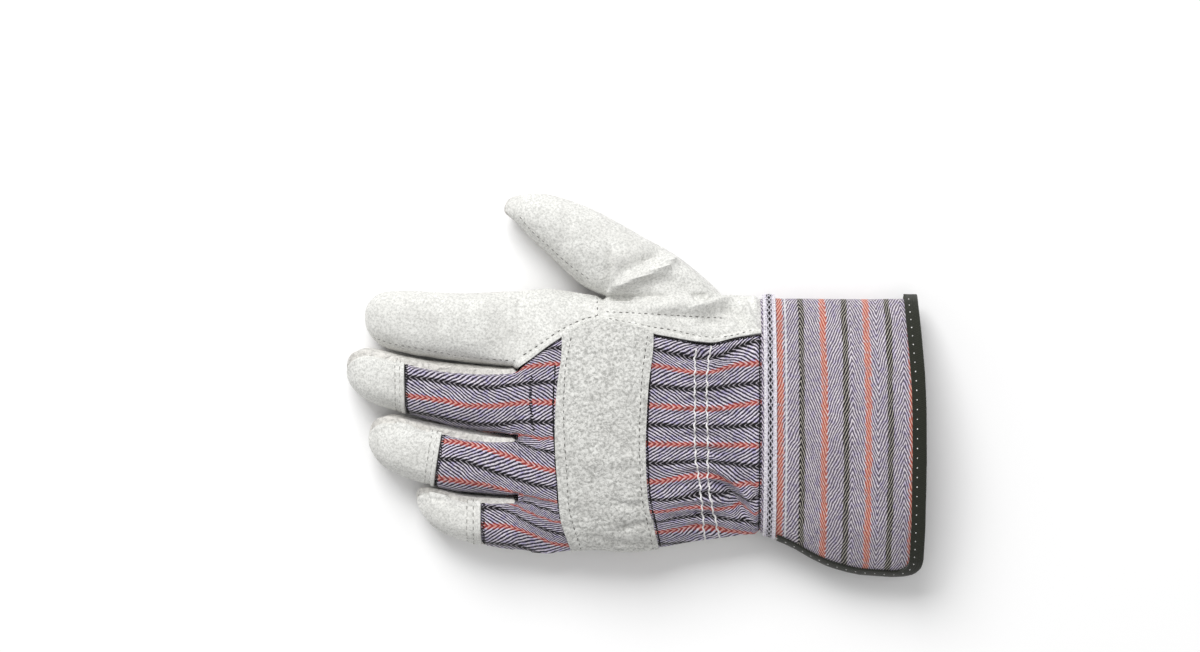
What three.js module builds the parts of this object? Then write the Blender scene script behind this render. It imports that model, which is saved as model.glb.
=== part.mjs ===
// A left-hand work glove: leather palm, thumb, index finger and finger tips, a cloth back and a
// stiff open cuff. It is hollow, filled out, and lies palm down on z = 0.
// Millimetres. +X runs to the cuff's mouth, +Y to the thumb, +Z up out of the back of the hand.
import * as THREE from "three";

// ---- driving dimensions ----
const LEATHER = 1.6; // wall of the split leather pieces
const CLOTH = 1.2; // wall of the cloth back
const CUFF_WALL = 1.6; // wall of the stiffened cuff
const TRIM = 1.0; // tape and binding
const SEAM = 0.3; // gap that neighbouring pieces keep

const CROTCH_X = -52; // where the four fingers leave the hand
const STAR_X = -14; // where index back, thumb gore and strap meet
const WRIST_X = 57; // seam of hand and cuff
const MOUTH_X = 128.7; // edge of the cuff's own cloth
const CROTCHES = [8, -23, -50]; // between index, middle, ring and little finger
const CROTCH_GAP = 0.4; // half the space between two finger walls
const THUMB_ROOT = { x: 13, half: 27, rise: 16 }; // the oval hole in the thumb side
const INSERT_X = -39.5; // base seam of the set-in insert on the palm side
const INDEX_END_X = -21; // where the index finger's palm side runs out

// Sections of the hand and cuff: each list holds [x, value] along the glove.
const BODY = {
  thumbEdge: [[-52, 42.2], [-38, 43.6], [-22, 40.8], [-14, 40.2], [13, 40.2], [40, 40.8], [57, 40.9]],
  littleEdge: [
    [-52, -74.5], [-40, -75.8], [-24, -73.2], [-4, -74], [11, -72.6], [35, -68.8], [57, -66.9],
    [65, -69], [73, -72.8], [81, -77.4], [90, -81.4], [106, -85], [130, -85.4],
  ],
  top: [[-52, 28.5], [-22, 34], [10, 35.5], [34, 33], [47, 30.5], [57, 32.5], [90, 35], [130, 39]],
  seam: [[-52, 12], [10, 13], [57, 12.5], [90, 10.5], [130, 9.5]],
  thumbShape: [[-52, 0.75], [40, 0.8], [66, 1.05], [100, 1.35], [130, 1.4]],
  littleShape: [[-52, 0.8], [57, 0.85], [100, 1.0], [130, 1.0]],
};
const SINK = 4; // how far the round underside would reach below the surface it lies on
const PATCH_LIFT = 1.9; // the cuff is held this far up by the pulse patch under it
const MOUTH_LIFT = 1.3; // and by the binding at its mouth

// Each finger: its x stations from root to tip, centre line, half-width and top height.
const FINGERS = {
  index: {
    stations: [-52, -59, -68, -79, -91, -103, -111, -117, -120],
    tip: -121.6, round: 13, lean: 0,
    centre: [[-121.6, 31], [-110, 29.6], [-98, 28.2], [-79, 26.4], [-52, 25.1]],
    half: [[-121.6, 12.6], [-110, 13.2], [-98, 14.2], [-79, 15.4], [-52, 17.1]],
    top: [[-121.6, 22], [-100, 25], [-75, 27], [-52, 28]],
  },
  middle: {
    stations: [-52, -59, -68, -79, -91, -103, -112, -120, -126, -128.8],
    tip: -130, round: 13, lean: 0,
    centre: [[-130, 7.6], [-117, 4.4], [-98, -0.7], [-79, -4.2], [-52, -7.5]],
    half: [[-130, 12.2], [-117, 12.6], [-98, 13.2], [-79, 14.6], [-52, 15.5]],
    top: [[-130, 22], [-100, 25.5], [-75, 27.5], [-52, 29]],
  },
  ring: {
    stations: [-52, -59, -68, -78, -88, -98, -107, -114, -118],
    tip: -120, round: 14, lean: 0.16,
    centre: [[-120, -21.2], [-108, -25.6], [-98, -28.8], [-79, -33.4], [-52, -36.5]],
    half: [[-120, 12], [-108, 12.6], [-98, 13.2], [-79, 14.0], [-52, 13.5]],
    top: [[-120, 21], [-95, 24.5], [-72, 26.5], [-52, 28]],
  },
  little: {
    stations: [-52, -58, -64, -71, -79, -86, -92, -96.5],
    tip: -98.6, round: 13, lean: 0,
    centre: [[-98.6, -50.4], [-90, -54.9], [-75, -59.6], [-52, -62.2]],
    half: [[-98.6, 8.8], [-88, 9.5], [-75, 10.6], [-52, 12.2]],
    top: [[-98.6, 18], [-80, 21.5], [-52, 25.5]],
  },
};
const FINGER_SEAM = 11; // height of the finger side seams
const FINGER_SWELL = 24; // length over which a finger rounds off from its root
const CAP_X = { middle: -103, ring: -88, little: -71 }; // cloth ends and leather tip caps begin

// The thumb: plan points of its two edges from root to tip, and its top height.
const THUMB = {
  inner: [[-14, 40.2], [-17, 42.3], [-22, 45], [-30, 51.6], [-38.5, 59.6], [-47, 67.4], [-52.4, 73.2], [-54.9, 76.6]],
  outer: [[40, 40.8], [30.5, 50], [13, 62.6], [-3, 71], [-20, 80.2], [-35, 85.4], [-45, 86.75], [-50.6, 85.2]],
  top: [29, 30, 29, 27.5, 26, 24, 21.5, 17],
  tip: [-56.4, 81, 11],
};

// Soft folds of the back: a centre line in plan, half-width and rise (a trough is negative).
const FOLDS = [
  { from: [-11, 42], to: [20, 58], width: 4, rise: 2.2 },
  { from: [-6, 38], to: [31, 47.5], width: 4, rise: -2.6 },
  { from: [9, 36], to: [36, 38.5], width: 3.5, rise: 1.6 },
  { from: [12, 30.5], to: [42, 31], width: 3.5, rise: -1.4 },
  { from: [-13, 44], to: [-8, 68], width: 4, rise: -1.4 },
  { from: [42, -40], to: [54, -58], width: 5, rise: -1.8 },
];

// ---- curves ----

// A smooth curve through [x, value] pairs in rising x, level past both ends.
function along(points, x) {
  const last = points.length - 1;
  if (x <= points[0][0]) return points[0][1];
  if (x >= points[last][0]) return points[last][1];
  let i = 0;
  while (x > points[i + 1][0]) i += 1;
  const slope = (k) => {
    const a = points[Math.max(k - 1, 0)];
    const b = points[Math.min(k + 1, last)];
    return (b[1] - a[1]) / (b[0] - a[0]);
  };
  const width = points[i + 1][0] - points[i][0];
  const u = (x - points[i][0]) / width;
  const start = points[i][1];
  const end = points[i + 1][1];
  const blend = u * u * (3 - 2 * u);
  const swing = u * (1 - u) * ((1 - u) * slope(i) - u * slope(i + 1)) * width;
  return start + (end - start) * blend + swing;
}

// 0 below zero, 1 above one, and a smooth step between.
function smoothStep(u) {
  const k = Math.min(Math.max(u, 0), 1);
  return k * k * (3 - 2 * k);
}

// Makes a round section fuller, as a stuffed finger is: the power is below one.
function fullness(part) {
  return Math.abs(part) ** 0.8 * Math.sign(part);
}

function mix(a, b, k) {
  return a + (b - a) * k;
}

// Rise of the folds at one plan point, faded out towards both ends of each fold.
function foldRise(x, y) {
  let rise = 0;
  for (const fold of FOLDS) {
    const dx = fold.to[0] - fold.from[0];
    const dy = fold.to[1] - fold.from[1];
    const length = Math.hypot(dx, dy);
    const run = ((x - fold.from[0]) * dx + (y - fold.from[1]) * dy) / length;
    const side = ((y - fold.from[1]) * dx - (x - fold.from[0]) * dy) / length;
    const beyond = Math.max(-run, run - length, 0);
    rise += fold.rise * Math.exp(-((side / fold.width) ** 2) - (beyond / (2 * fold.width)) ** 2);
  }
  return rise;
}

// ---- the hand and cuff as one run of closed sections ----

// Height of the underside: flat under the hand, then up on to the pulse patch and the binding.
function floorAt(x) {
  const patch = PATCH_LIFT * smoothStep((x - 38) / 18);
  return patch - (PATCH_LIFT - MOUTH_LIFT) * smoothStep((x - 96) / 16);
}

// How far the thumb's hole opens the section at x: 0 outside it, 1 at its middle.
function thumbOpening(x) {
  const across = (x - THUMB_ROOT.x) / THUMB_ROOT.half;
  return Math.sqrt(Math.max(1 - across * across, 0));
}

// A point of the section at x, depth inside the outer face. Angle 0 is the thumb side seam, a
// quarter turn is the top, a half turn the little finger's side, three quarters the underside.
function bodyPoint(x, angle, depth) {
  const thumbEdge = along(BODY.thumbEdge, x);
  const littleEdge = along(BODY.littleEdge, x);
  const seam = along(BODY.seam, x);
  const floor = floorAt(x);
  const across = Math.cos(angle);
  const up = Math.sin(angle);
  const onThumbSide = across > 0;
  const shape = along(onThumbSide ? BODY.thumbShape : BODY.littleShape, x);
  const y = (thumbEdge + littleEdge) / 2 + ((thumbEdge - littleEdge) / 2 - depth) * across;
  const opening = onThumbSide ? thumbOpening(x) : 0;
  const reach = Math.abs(up) ** shape;
  if (up >= 0) {
    const height = along(BODY.top, x) - seam - depth;
    const lift = (opening * THUMB_ROOT.rise) / (along(BODY.top, x) - seam);
    const z = seam + height * mix(reach, 1, lift);
    return new THREE.Vector3(x, y, z + foldRise(x, y) * smoothStep(reach * 2 + opening));
  }
  const z = seam - (seam - floor + SINK - depth) * mix(reach, 1, opening);
  return new THREE.Vector3(x, y, Math.max(z, floor + depth));
}

// The angle on the top half of the section at x whose point lies at y.
function topAngle(x, y) {
  const thumbEdge = along(BODY.thumbEdge, x);
  const littleEdge = along(BODY.littleEdge, x);
  const across = (2 * y - thumbEdge - littleEdge) / (thumbEdge - littleEdge);
  return Math.acos(Math.min(Math.max(across, -1), 1));
}

// ---- columns: the lines along the hand that its panels are built on ----

const BACK_EDGE = [[-52, 8], [-33, 21.6], [-24, 26.2], [-14, 28.8], [8, 23.6], [34, 19.6], [47, 22], [57, 23.6]];
const PALM_EDGE = [[-52, 8], [-45, 13.6], [-38, 20.5], [-30, 31]];

// The crotch keeps two finger walls apart; the panels of the hand close that gap a little behind it.
function crotchGap(x) {
  return CROTCH_GAP * Math.max(0, 1 - (x - CROTCH_X) / 6);
}

// Shares of the way from the inner edge of the cloth to the little finger's side seam.
function clothShares() {
  const start = topAngle(CROTCH_X, CROTCHES[0] - CROTCH_GAP);
  const shareAt = (y) => (topAngle(CROTCH_X, y) - start) / (Math.PI - start);
  const edges = [CROTCHES[0] - CROTCH_GAP];
  CROTCHES.slice(1).forEach((y) => edges.push(y + CROTCH_GAP, y - CROTCH_GAP));
  const shares = [];
  for (let finger = 0; finger < 2; finger += 1) {
    for (let step = 0; step <= 4; step += 1) {
      shares.push(shareAt(mix(edges[2 * finger], edges[2 * finger + 1], step / 4)));
    }
  }
  const little = shareAt(edges[4]);
  for (let step = 0; step <= 6; step += 1) shares.push(mix(little, 1, step / 6));
  return shares;
}
const CLOTH_SHARES = clothShares();
const MIDDLE_COLUMNS = [0, 4];
const RING_COLUMNS = [5, 9];
const LITTLE_COLUMNS = [10, 16];

function clothAngle(x, column) {
  const start = topAngle(x, along(BACK_EDGE, x) - crotchGap(x));
  return mix(start, Math.PI, CLOTH_SHARES[column]);
}

function leatherAngle(x, column) {
  return (topAngle(x, along(BACK_EDGE, x) + crotchGap(x)) * column) / 6;
}

// The palm's columns mirror the cloth's, as far as the index finger's own piece.
function palmAngle(x, column) {
  const inner = x >= INDEX_END_X ? 0 : palmEdgeAngle(x, -crotchGap(x));
  return 2 * Math.PI - mix(inner, Math.PI, CLOTH_SHARES[column]);
}

// The index finger's own piece stays a little more clear where its seam runs out in a point.
function indexPalmAngle(x, column) {
  const clear = 1 - 0.02 * smoothStep((x + 46) / 19);
  const inner = x >= INDEX_END_X ? 0 : palmEdgeAngle(x, crotchGap(x)) * clear;
  return 2 * Math.PI - (inner * column) / 6;
}

function palmEdgeAngle(x, shift) {
  const close = smoothStep((x - PALM_EDGE[3][0]) / (INDEX_END_X - PALM_EDGE[3][0]));
  return topAngle(x, along(PALM_EDGE, x) + shift) * (1 - close);
}

// ---- fingers ----

const QUARTER = Math.PI / 4;

// The root ring of a finger: the hand's own section on top and below, with upright walls
// between fingers. Turn runs from 0 at the thumb side over the top to a half turn, and on below.
function rootPoint(name, turn, depth) {
  const once = turn > 2 * Math.PI ? turn - 2 * Math.PI : turn;
  const below = once > Math.PI;
  const position = (below ? 2 * Math.PI - once : once) / (Math.PI / 8);
  const order = Object.keys(FINGERS).indexOf(name);
  const firstWall = order > 0;
  const secondWall = order < CROTCHES.length;
  const low = firstWall ? 2 : 0;
  const high = secondWall ? 6 : 8;
  const column = Math.min(Math.max(position, low), high);
  const angle = rootAngle(name, column, below);
  const point = bodyPoint(CROTCH_X, angle, depth);
  if (firstWall && position <= 2) point.y = CROTCHES[order - 1] - CROTCH_GAP - depth;
  if (secondWall && position >= 6) point.y = CROTCHES[order] + CROTCH_GAP + depth;
  const drop = firstWall && position < 2 ? 1 - position / 2 : secondWall && position > 6 ? (position - 6) / 2 : 0;
  point.z = mix(point.z, FINGER_SEAM, drop);
  return point;
}

function rootAngle(name, column, below) {
  if (name === "index") {
    const inner = topAngle(CROTCH_X, CROTCHES[0] + CROTCH_GAP);
    return below ? 2 * Math.PI - (inner * column) / 6 : (inner * column) / 6;
  }
  const first = { middle: MIDDLE_COLUMNS, ring: RING_COLUMNS, little: LITTLE_COLUMNS }[name][0];
  const share = sharesAt(first + column - 2);
  const inner = topAngle(CROTCH_X, CROTCHES[0] - CROTCH_GAP);
  const angle = mix(inner, Math.PI, share);
  return below ? 2 * Math.PI - angle : angle;
}

function sharesAt(column) {
  const low = Math.floor(column);
  if (low >= CLOTH_SHARES.length - 1) return 1;
  return mix(CLOTH_SHARES[low], CLOTH_SHARES[low + 1], column - low);
}

// A point of a finger at one station, depth inside its outer face.
function fingerPoint(name, station, turn, depth) {
  const finger = FINGERS[name];
  const length = CROTCH_X - finger.tip;
  const x = CROTCH_X + ((station - CROTCH_X) * (length - depth)) / length;
  const left = Math.max(station - finger.tip, 0);
  const tipRound = left >= finger.round ? 1 : Math.sqrt(1 - (1 - left / finger.round) ** 2);
  const across = fullness(Math.cos(turn));
  const half = (along(finger.half, station) - depth) * tipRound;
  const top = along(finger.top, station);
  const up = Math.sin(turn);
  const reach = fullness(up);
  const side = half * across;
  const swell = smoothStep((CROTCH_X - station) / FINGER_SWELL);
  const y = along(finger.centre, station) + side;
  const seamHeight = mix(FINGER_SEAM, (top / 2) * 0.92, 1 - tipRound);
  const height = up >= 0 ? top - FINGER_SEAM : FINGER_SEAM + SINK;
  const z = Math.max(seamHeight + (height - depth) * tipRound * reach, depth);
  const ring = new THREE.Vector3(x + finger.lean * side * swell, y, z);
  return rootPoint(name, turn, depth).lerp(ring, swell);
}

// ---- thumb ----

const THUMB_TURNS = 8;

// A point of the thumb at one of its rows. Turn 0 is its outer edge, a half turn the crotch's.
function thumbPoint(row, turn, depth) {
  if (row === 0) {
    const x = THUMB_ROOT.x + THUMB_ROOT.half * Math.cos(turn);
    const root = bodyPoint(x, turn <= Math.PI ? 0 : 2 * Math.PI, 0);
    root.x -= depth * Math.cos(turn);
    root.z -= depth * Math.sin(turn);
    return root;
  }
  const inner = THUMB.inner[row];
  const outer = THUMB.outer[row];
  const half = Math.hypot(outer[0] - inner[0], outer[1] - inner[1]) / 2;
  const across = (Math.cos(turn) * (half - depth)) / half;
  const x = (inner[0] + outer[0]) / 2 + ((outer[0] - inner[0]) / 2) * across;
  const y = (inner[1] + outer[1]) / 2 + ((outer[1] - inner[1]) / 2) * across;
  const up = Math.sin(turn);
  const reach = fullness(up);
  const seam = 12;
  if (up >= 0) return new THREE.Vector3(x, y, seam + (THUMB.top[row] - seam - depth) * reach + foldRise(x, y) * reach);
  return new THREE.Vector3(x, y, Math.max(seam + (seam + SINK - depth) * reach, depth));
}

function thumbTip(depth) {
  return new THREE.Vector3(THUMB.tip[0] + depth, THUMB.tip[1] - depth / 2, THUMB.tip[2]);
}

// ---- thin walled sheets ----

// A sheet is any number of patches of one cloth. A patch is rows of [outer, inner] points; where
// patches share points they are one piece. Its free edge is drawn back by half a seam's gap.
class Sheet {
  constructor() {
    this.outer = [];
    this.inner = [];
    this.faces = [];
    this.known = new Map();
  }

  vertex([outer, inner]) {
    const key = outer.toArray().map((value) => Math.round(value * 500)).join();
    if (!this.known.has(key)) {
      this.known.set(key, this.outer.length);
      this.outer.push(outer.clone());
      this.inner.push(inner.clone());
    }
    return this.known.get(key);
  }

  // Adds the faces of a patch whose point pairs pairAt(row, column) gives.
  patch(rows, columns, pairAt) {
    const grid = rows.map((row) => columns.map((column) => this.vertex(pairAt(row, column))));
    for (let i = 0; i + 1 < rows.length; i += 1) {
      for (let j = 0; j + 1 < columns.length; j += 1) {
        this.face([grid[i][j], grid[i + 1][j], grid[i + 1][j + 1], grid[i][j + 1]]);
      }
    }
    return this;
  }

  // Keeps a face's corners apart and turns its outer side outwards.
  face(corners) {
    const ring = corners.filter((corner, i) => corner !== corners[(i + 1) % corners.length]);
    if (ring.length < 3) return;
    const [a, b, c] = ring.map((corner) => this.outer[corner]);
    const normal = new THREE.Vector3().crossVectors(b.clone().sub(a), c.clone().sub(a));
    const outward = new THREE.Vector3();
    ring.forEach((corner) => outward.add(this.outer[corner]).sub(this.inner[corner]));
    this.faces.push(normal.dot(outward) >= 0 ? ring : ring.reverse());
  }

  freeEdges() {
    const edges = new Map();
    for (const ring of this.faces) {
      ring.forEach((from, i) => {
        const to = ring[(i + 1) % ring.length];
        if (!edges.delete(`${to},${from}`)) edges.set(`${from},${to}`, { from, to, ring });
      });
    }
    return [...edges.values()];
  }

  // Draws the free edge back along the sheet by half of the seam's gap.
  drawBack(edges) {
    const pulls = new Map();
    for (const { from, to, ring } of edges) {
      const middle = new THREE.Vector3();
      ring.forEach((corner) => middle.addScaledVector(this.outer[corner], 1 / ring.length));
      const run = this.outer[to].clone().sub(this.outer[from]).normalize();
      const inward = middle.sub(this.outer[from]);
      inward.addScaledVector(run, -inward.dot(run)).normalize();
      [from, to].forEach((corner) => pulls.set(corner, [...(pulls.get(corner) || []), inward]));
    }
    for (const [corner, inwards] of pulls) {
      const pull = new THREE.Vector3();
      inwards.forEach((inward) => pull.add(inward));
      const share = Math.max(pull.lengthSq() / inwards.length, 0.35);
      pull.multiplyScalar(SEAM / 2 / share);
      this.outer[corner].add(pull);
      this.inner[corner].add(pull);
      this.outer[corner].z = Math.max(this.outer[corner].z, 0);
    }
  }

  geometry() {
    const edges = this.freeEdges();
    this.drawBack(edges);
    const count = this.outer.length;
    const triangles = [];
    for (const ring of this.faces) {
      for (let i = 1; i + 1 < ring.length; i += 1) {
        triangles.push(ring[0], ring[i], ring[i + 1]);
        triangles.push(count + ring[0], count + ring[i + 1], count + ring[i]);
      }
    }
    for (const { from, to } of edges) {
      triangles.push(from, count + from, to);
      triangles.push(to, count + from, count + to);
    }
    const points = [...this.outer, ...this.inner].flatMap((point) => point.toArray());
    const geometry = new THREE.BufferGeometry();
    geometry.setAttribute("position", new THREE.Float32BufferAttribute(points, 3));
    geometry.setIndex(triangles);
    return geometry;
  }
}

function range(first, last) {
  return Array.from({ length: last - first + 1 }, (_, i) => first + i);
}

// Stations of the hand: round the thumb's hole they stand on its even turns.
const ROOT_TURNS = range(0, THUMB_TURNS).map((i) => Math.PI - (i * Math.PI) / THUMB_TURNS);
const ROOT_X = ROOT_TURNS.map((turn) => THUMB_ROOT.x + THUMB_ROOT.half * Math.cos(turn));
const HAND_X = [CROTCH_X, -46, INSERT_X, -33, -27, INDEX_END_X, ...ROOT_X, 45.5, 51, WRIST_X];

function handBetween(low, high) {
  return HAND_X.filter((x) => x > low - 0.01 && x < high + 0.01);
}

// A patch of the hand between two stations, on the lines that angleAt(x, column) gives.
function handPatch(sheet, stations, columns, angleAt, wall, lift = 0) {
  const pairAt = (x, column) => {
    const angle = angleAt(x, column);
    return [bodyPoint(x, angle, -lift), bodyPoint(x, angle, wall - lift)];
  };
  return sheet.patch(stations, columns, pairAt);
}

// A patch of one finger between two turns (in eighths of a half turn), root to tip or part of it.
function fingerPatch(sheet, name, firstTurn, lastTurn, wall, from = CROTCH_X, to = -Infinity) {
  const finger = FINGERS[name];
  const stations = [...finger.stations, finger.tip].filter((x) => x <= from && x >= to);
  const pairAt = (x, step) => {
    const turn = (step * Math.PI) / 8;
    return [fingerPoint(name, x, turn, 0), fingerPoint(name, x, turn, wall)];
  };
  return sheet.patch(stations, range(firstTurn, lastTurn), pairAt);
}

function thumbPatch(sheet, firstTurn, lastTurn, wall) {
  const rows = range(0, THUMB.inner.length);
  const pairAt = (row, step) => {
    if (row === THUMB.inner.length) return [thumbTip(0), thumbTip(wall)];
    const turn = (step * Math.PI) / THUMB_TURNS;
    return [thumbPoint(row, turn, 0), thumbPoint(row, turn, wall)];
  };
  return sheet.patch(rows, range(firstTurn, lastTurn), pairAt);
}

// ---- leather pieces ----

function indexBack() {
  const sheet = new Sheet();
  fingerPatch(sheet, "index", 0, 8, LEATHER);
  return handPatch(sheet, handBetween(CROTCH_X, STAR_X), range(0, 6), leatherAngle, LEATHER);
}

function thumbBack() {
  const sheet = new Sheet();
  thumbPatch(sheet, 0, THUMB_TURNS, LEATHER);
  return handPatch(sheet, handBetween(STAR_X, WRIST_X), range(0, 6), leatherAngle, LEATHER);
}

function thumbPalm() {
  return thumbPatch(new Sheet(), THUMB_TURNS, 2 * THUMB_TURNS, LEATHER);
}

function indexPalm() {
  const sheet = new Sheet();
  fingerPatch(sheet, "index", 8, 16, LEATHER);
  return handPatch(sheet, handBetween(CROTCH_X, INDEX_END_X), range(0, 6), indexPalmAngle, LEATHER);
}

function palmInsert() {
  const sheet = new Sheet();
  fingerPatch(sheet, "middle", 8, 18, LEATHER);
  fingerPatch(sheet, "ring", 8, 18, LEATHER);
  const columns = range(MIDDLE_COLUMNS[0], RING_COLUMNS[1]);
  return handPatch(sheet, handBetween(CROTCH_X, INSERT_X), columns, palmAngle, LEATHER);
}

function palm() {
  const sheet = new Sheet();
  fingerPatch(sheet, "little", 8, 18, LEATHER);
  const little = range(LITTLE_COLUMNS[0], LITTLE_COLUMNS[1]);
  handPatch(sheet, handBetween(CROTCH_X, INSERT_X), little, palmAngle, LEATHER);
  const all = range(0, LITTLE_COLUMNS[1]);
  return handPatch(sheet, handBetween(INSERT_X, WRIST_X), all, palmAngle, LEATHER);
}

function tipCap(name) {
  return fingerPatch(new Sheet(), name, 2, 8, LEATHER, CAP_X[name]);
}

// ---- cloth back and the strap sewn on it ----

function handBack() {
  const sheet = new Sheet();
  for (const name of ["middle", "ring", "little"]) {
    fingerPatch(sheet, name, 2, 8, CLOTH, CROTCH_X, CAP_X[name]);
  }
  return handPatch(sheet, HAND_X, range(0, LITTLE_COLUMNS[1]), clothAngle, CLOTH);
}

// The strap's two long edges, as [y, x].
const STRAP_FINGER_EDGE = [[-73, -28], [-56, -32.8], [-38, -34.2], [-18, -35.4], [-4, -35.4], [9, -34.6], [21, -32.4]];
const STRAP_WRIST_EDGE = [[-73, 11.3], [-60, 8.5], [-50, 6.3], [-25, 5], [-10, 5.4], [6, 6.4], [22, 8.5]];

function knuckleStrap() {
  const sheet = new Sheet();
  const lift = LEATHER + SEAM;
  const pairAt = (row, column) => {
    const y = bodyPoint(STAR_X, clothAngle(STAR_X, column), 0).y;
    const x = mix(along(STRAP_FINGER_EDGE, y), along(STRAP_WRIST_EDGE, y), row / 6);
    const angle = clothAngle(x, column);
    return [bodyPoint(x, angle, -lift), bodyPoint(x, angle, -SEAM)];
  };
  return sheet.patch(range(0, 6), range(0, LITTLE_COLUMNS[1] - 1), pairAt);
}

// ---- cuff ----

const CORNER = 12.4; // radius of the cuff's two corners at the slit
const SLIT_BACK = 0.1; // angle left open above and below the little finger's side line
const SLIT_PALM = 0.34;
const BINDING_START_X = 64.4;
const TAPE_X = [57.9, 63.6];
const MOUTH_BOW = 1.7; // the mouth's middle stands this far beyond its thumb side

// Angles round the cuff in even steps of length, from the slit over the back to the slit again.
function cuffAngles() {
  const first = Math.PI - SLIT_BACK;
  const last = -(Math.PI - SLIT_PALM);
  const steps = 240;
  const table = [{ share: 0, angle: first }];
  let length = 0;
  let before = bodyPoint(100, first, 0);
  for (let i = 1; i <= steps; i += 1) {
    const angle = mix(first, last, i / steps);
    const point = bodyPoint(100, angle < 0 ? angle + 2 * Math.PI : angle, 0);
    length += point.distanceTo(before);
    table.push({ share: length, angle });
    before = point;
  }
  return { length, table };
}
const ROUND = cuffAngles();

function cuffAngle(distance) {
  const { table, length } = ROUND;
  const at = Math.min(Math.max(distance, 0), length);
  const i = Math.max(table.findIndex((entry) => entry.share >= at), 1);
  const before = table[i - 1];
  const after = table[i];
  return mix(before.angle, after.angle, (at - before.share) / (after.share - before.share));
}

// A point of the cuff, a distance round from the slit's upper edge.
function cuffPoint(distance, x, depth) {
  const angle = cuffAngle(distance);
  const point = bodyPoint(x, angle < 0 ? angle + 2 * Math.PI : angle, depth);
  return point;
}

// How far the cuff reaches at a distance round: its corners are arcs and its mouth is bowed.
function mouthX(distance) {
  const fromSlit = Math.min(distance, ROUND.length - distance, CORNER);
  const y = cuffPoint(distance, MOUTH_X, 0).y;
  const bow = MOUTH_BOW * smoothStep((y + 10) / 50);
  return MOUTH_X - bow - CORNER + Math.sqrt(CORNER ** 2 - (CORNER - fromSlit) ** 2);
}

const CORNER_STEPS = 5;
const SLIT_X = [57, 60.7, 64.4, 70, 76, 83, 91, 102]; // rows of the cuff along its slit

// Distance from the slit of a step round the corner.
function cornerDistance(step) {
  return CORNER * (1 - Math.cos((step * Math.PI) / 2 / CORNER_STEPS));
}

function cuffDistances() {
  const corner = range(0, CORNER_STEPS).map(cornerDistance);
  const steps = 20;
  const middle = range(1, steps - 1).map((i) => mix(CORNER, ROUND.length - CORNER, i / steps));
  const end = corner.map((distance) => ROUND.length - distance).reverse();
  return [...corner, ...middle, ...end];
}

function cuff() {
  const sheet = new Sheet();
  const slitEnd = mouthX(0);
  const shares = [...SLIT_X, slitEnd].map((x) => (x - WRIST_X) / (slitEnd - WRIST_X));
  const pairAt = (share, distance) => {
    const x = mix(WRIST_X, mouthX(distance), share);
    return [cuffPoint(distance, x, 0), cuffPoint(distance, x, CUFF_WALL)];
  };
  return sheet.patch(shares, cuffDistances(), pairAt);
}

function cuffTape() {
  const sheet = new Sheet();
  const thumbSide = ROUND.table.find((entry) => entry.angle <= 0.05).share;
  const columns = cuffDistances().filter((distance) => distance < thumbSide);
  const pairAt = (x, distance) => [
    cuffPoint(distance, x, -SEAM - TRIM),
    cuffPoint(distance, x, -SEAM),
  ];
  return sheet.patch([TAPE_X[0], mix(...TAPE_X, 0.5), TAPE_X[1]], columns, pairAt);
}

// The edge that the binding follows: distance round, x, and its inward direction.
function bindingPath() {
  const path = [];
  SLIT_X.filter((x) => x >= BINDING_START_X).forEach((x) => path.push([0, x, 1, 0]));
  range(0, CORNER_STEPS).forEach((step) => {
    const turn = (step * Math.PI) / 2 / CORNER_STEPS;
    path.push([cornerDistance(step), mouthX(cornerDistance(step)), Math.cos(turn), -Math.sin(turn)]);
  });
  const steps = 20;
  range(1, steps / 2).forEach((i) => {
    const round = mix(CORNER, ROUND.length - CORNER, i / steps);
    path.push([round, mouthX(round), 0, -1]);
  });
  const mirrored = path.slice(0, -1).map(([round, x, inRound, inX]) => [ROUND.length - round, x, -inRound, inX]);
  return [...path, ...mirrored.reverse()];
}

// The binding's folded profile: how far in from the edge, and how deep below the outer face.
function bindingProfile() {
  const out = -SEAM - TRIM;
  const inside = CUFF_WALL + SEAM + TRIM;
  const insets = [cornerDistance(3), cornerDistance(2)];
  const face = (edge, depth) => [...insets, edge].map((inset) => [inset, depth]);
  return [
    ...face(out, out), ...face(out, inside).reverse(),
    ...face(-SEAM, CUFF_WALL + SEAM), ...face(-SEAM, -SEAM).reverse(),
  ];
}

function cuffBinding() {
  const profile = bindingProfile();
  const rings = bindingPath().map(([round, x, inRound, inX]) =>
    profile.map(([inset, depth]) => {
      const end = cuffPoint(round, x, depth);
      const further = cuffPoint(Math.min(Math.max(round + 0.5 * inRound, 0), ROUND.length), x + 0.5 * inX, depth);
      const inward = further.sub(end).normalize();
      if (inset <= 0) return end.addScaledVector(inward, inset);
      return cuffPoint(round + inset * inRound, x + inset * inX, depth);
    }),
  );
  return sweptGeometry(rings, profile);
}

// A closed solid through rings of points, all on one flat profile, with a face at each end.
function sweptGeometry(rings, profile) {
  const count = rings[0].length;
  const points = rings.flat().flatMap((point) => point.toArray());
  const triangles = [];
  for (let i = 0; i + 1 < rings.length; i += 1) {
    for (let j = 0; j < count; j += 1) {
      const a = i * count + j;
      const b = i * count + ((j + 1) % count);
      triangles.push(a, b, a + count);
      triangles.push(b, b + count, a + count);
    }
  }
  const last = (rings.length - 1) * count;
  const outline = profile.map(([inset, depth]) => new THREE.Vector2(inset, depth));
  for (const [a, b, c] of THREE.ShapeUtils.triangulateShape(outline, [])) {
    triangles.push(a, b, c, last + c, last + b, last + a);
  }
  const geometry = new THREE.BufferGeometry();
  geometry.setAttribute("position", new THREE.Float32BufferAttribute(points, 3));
  geometry.setIndex(triangles);
  return geometry;
}

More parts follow.
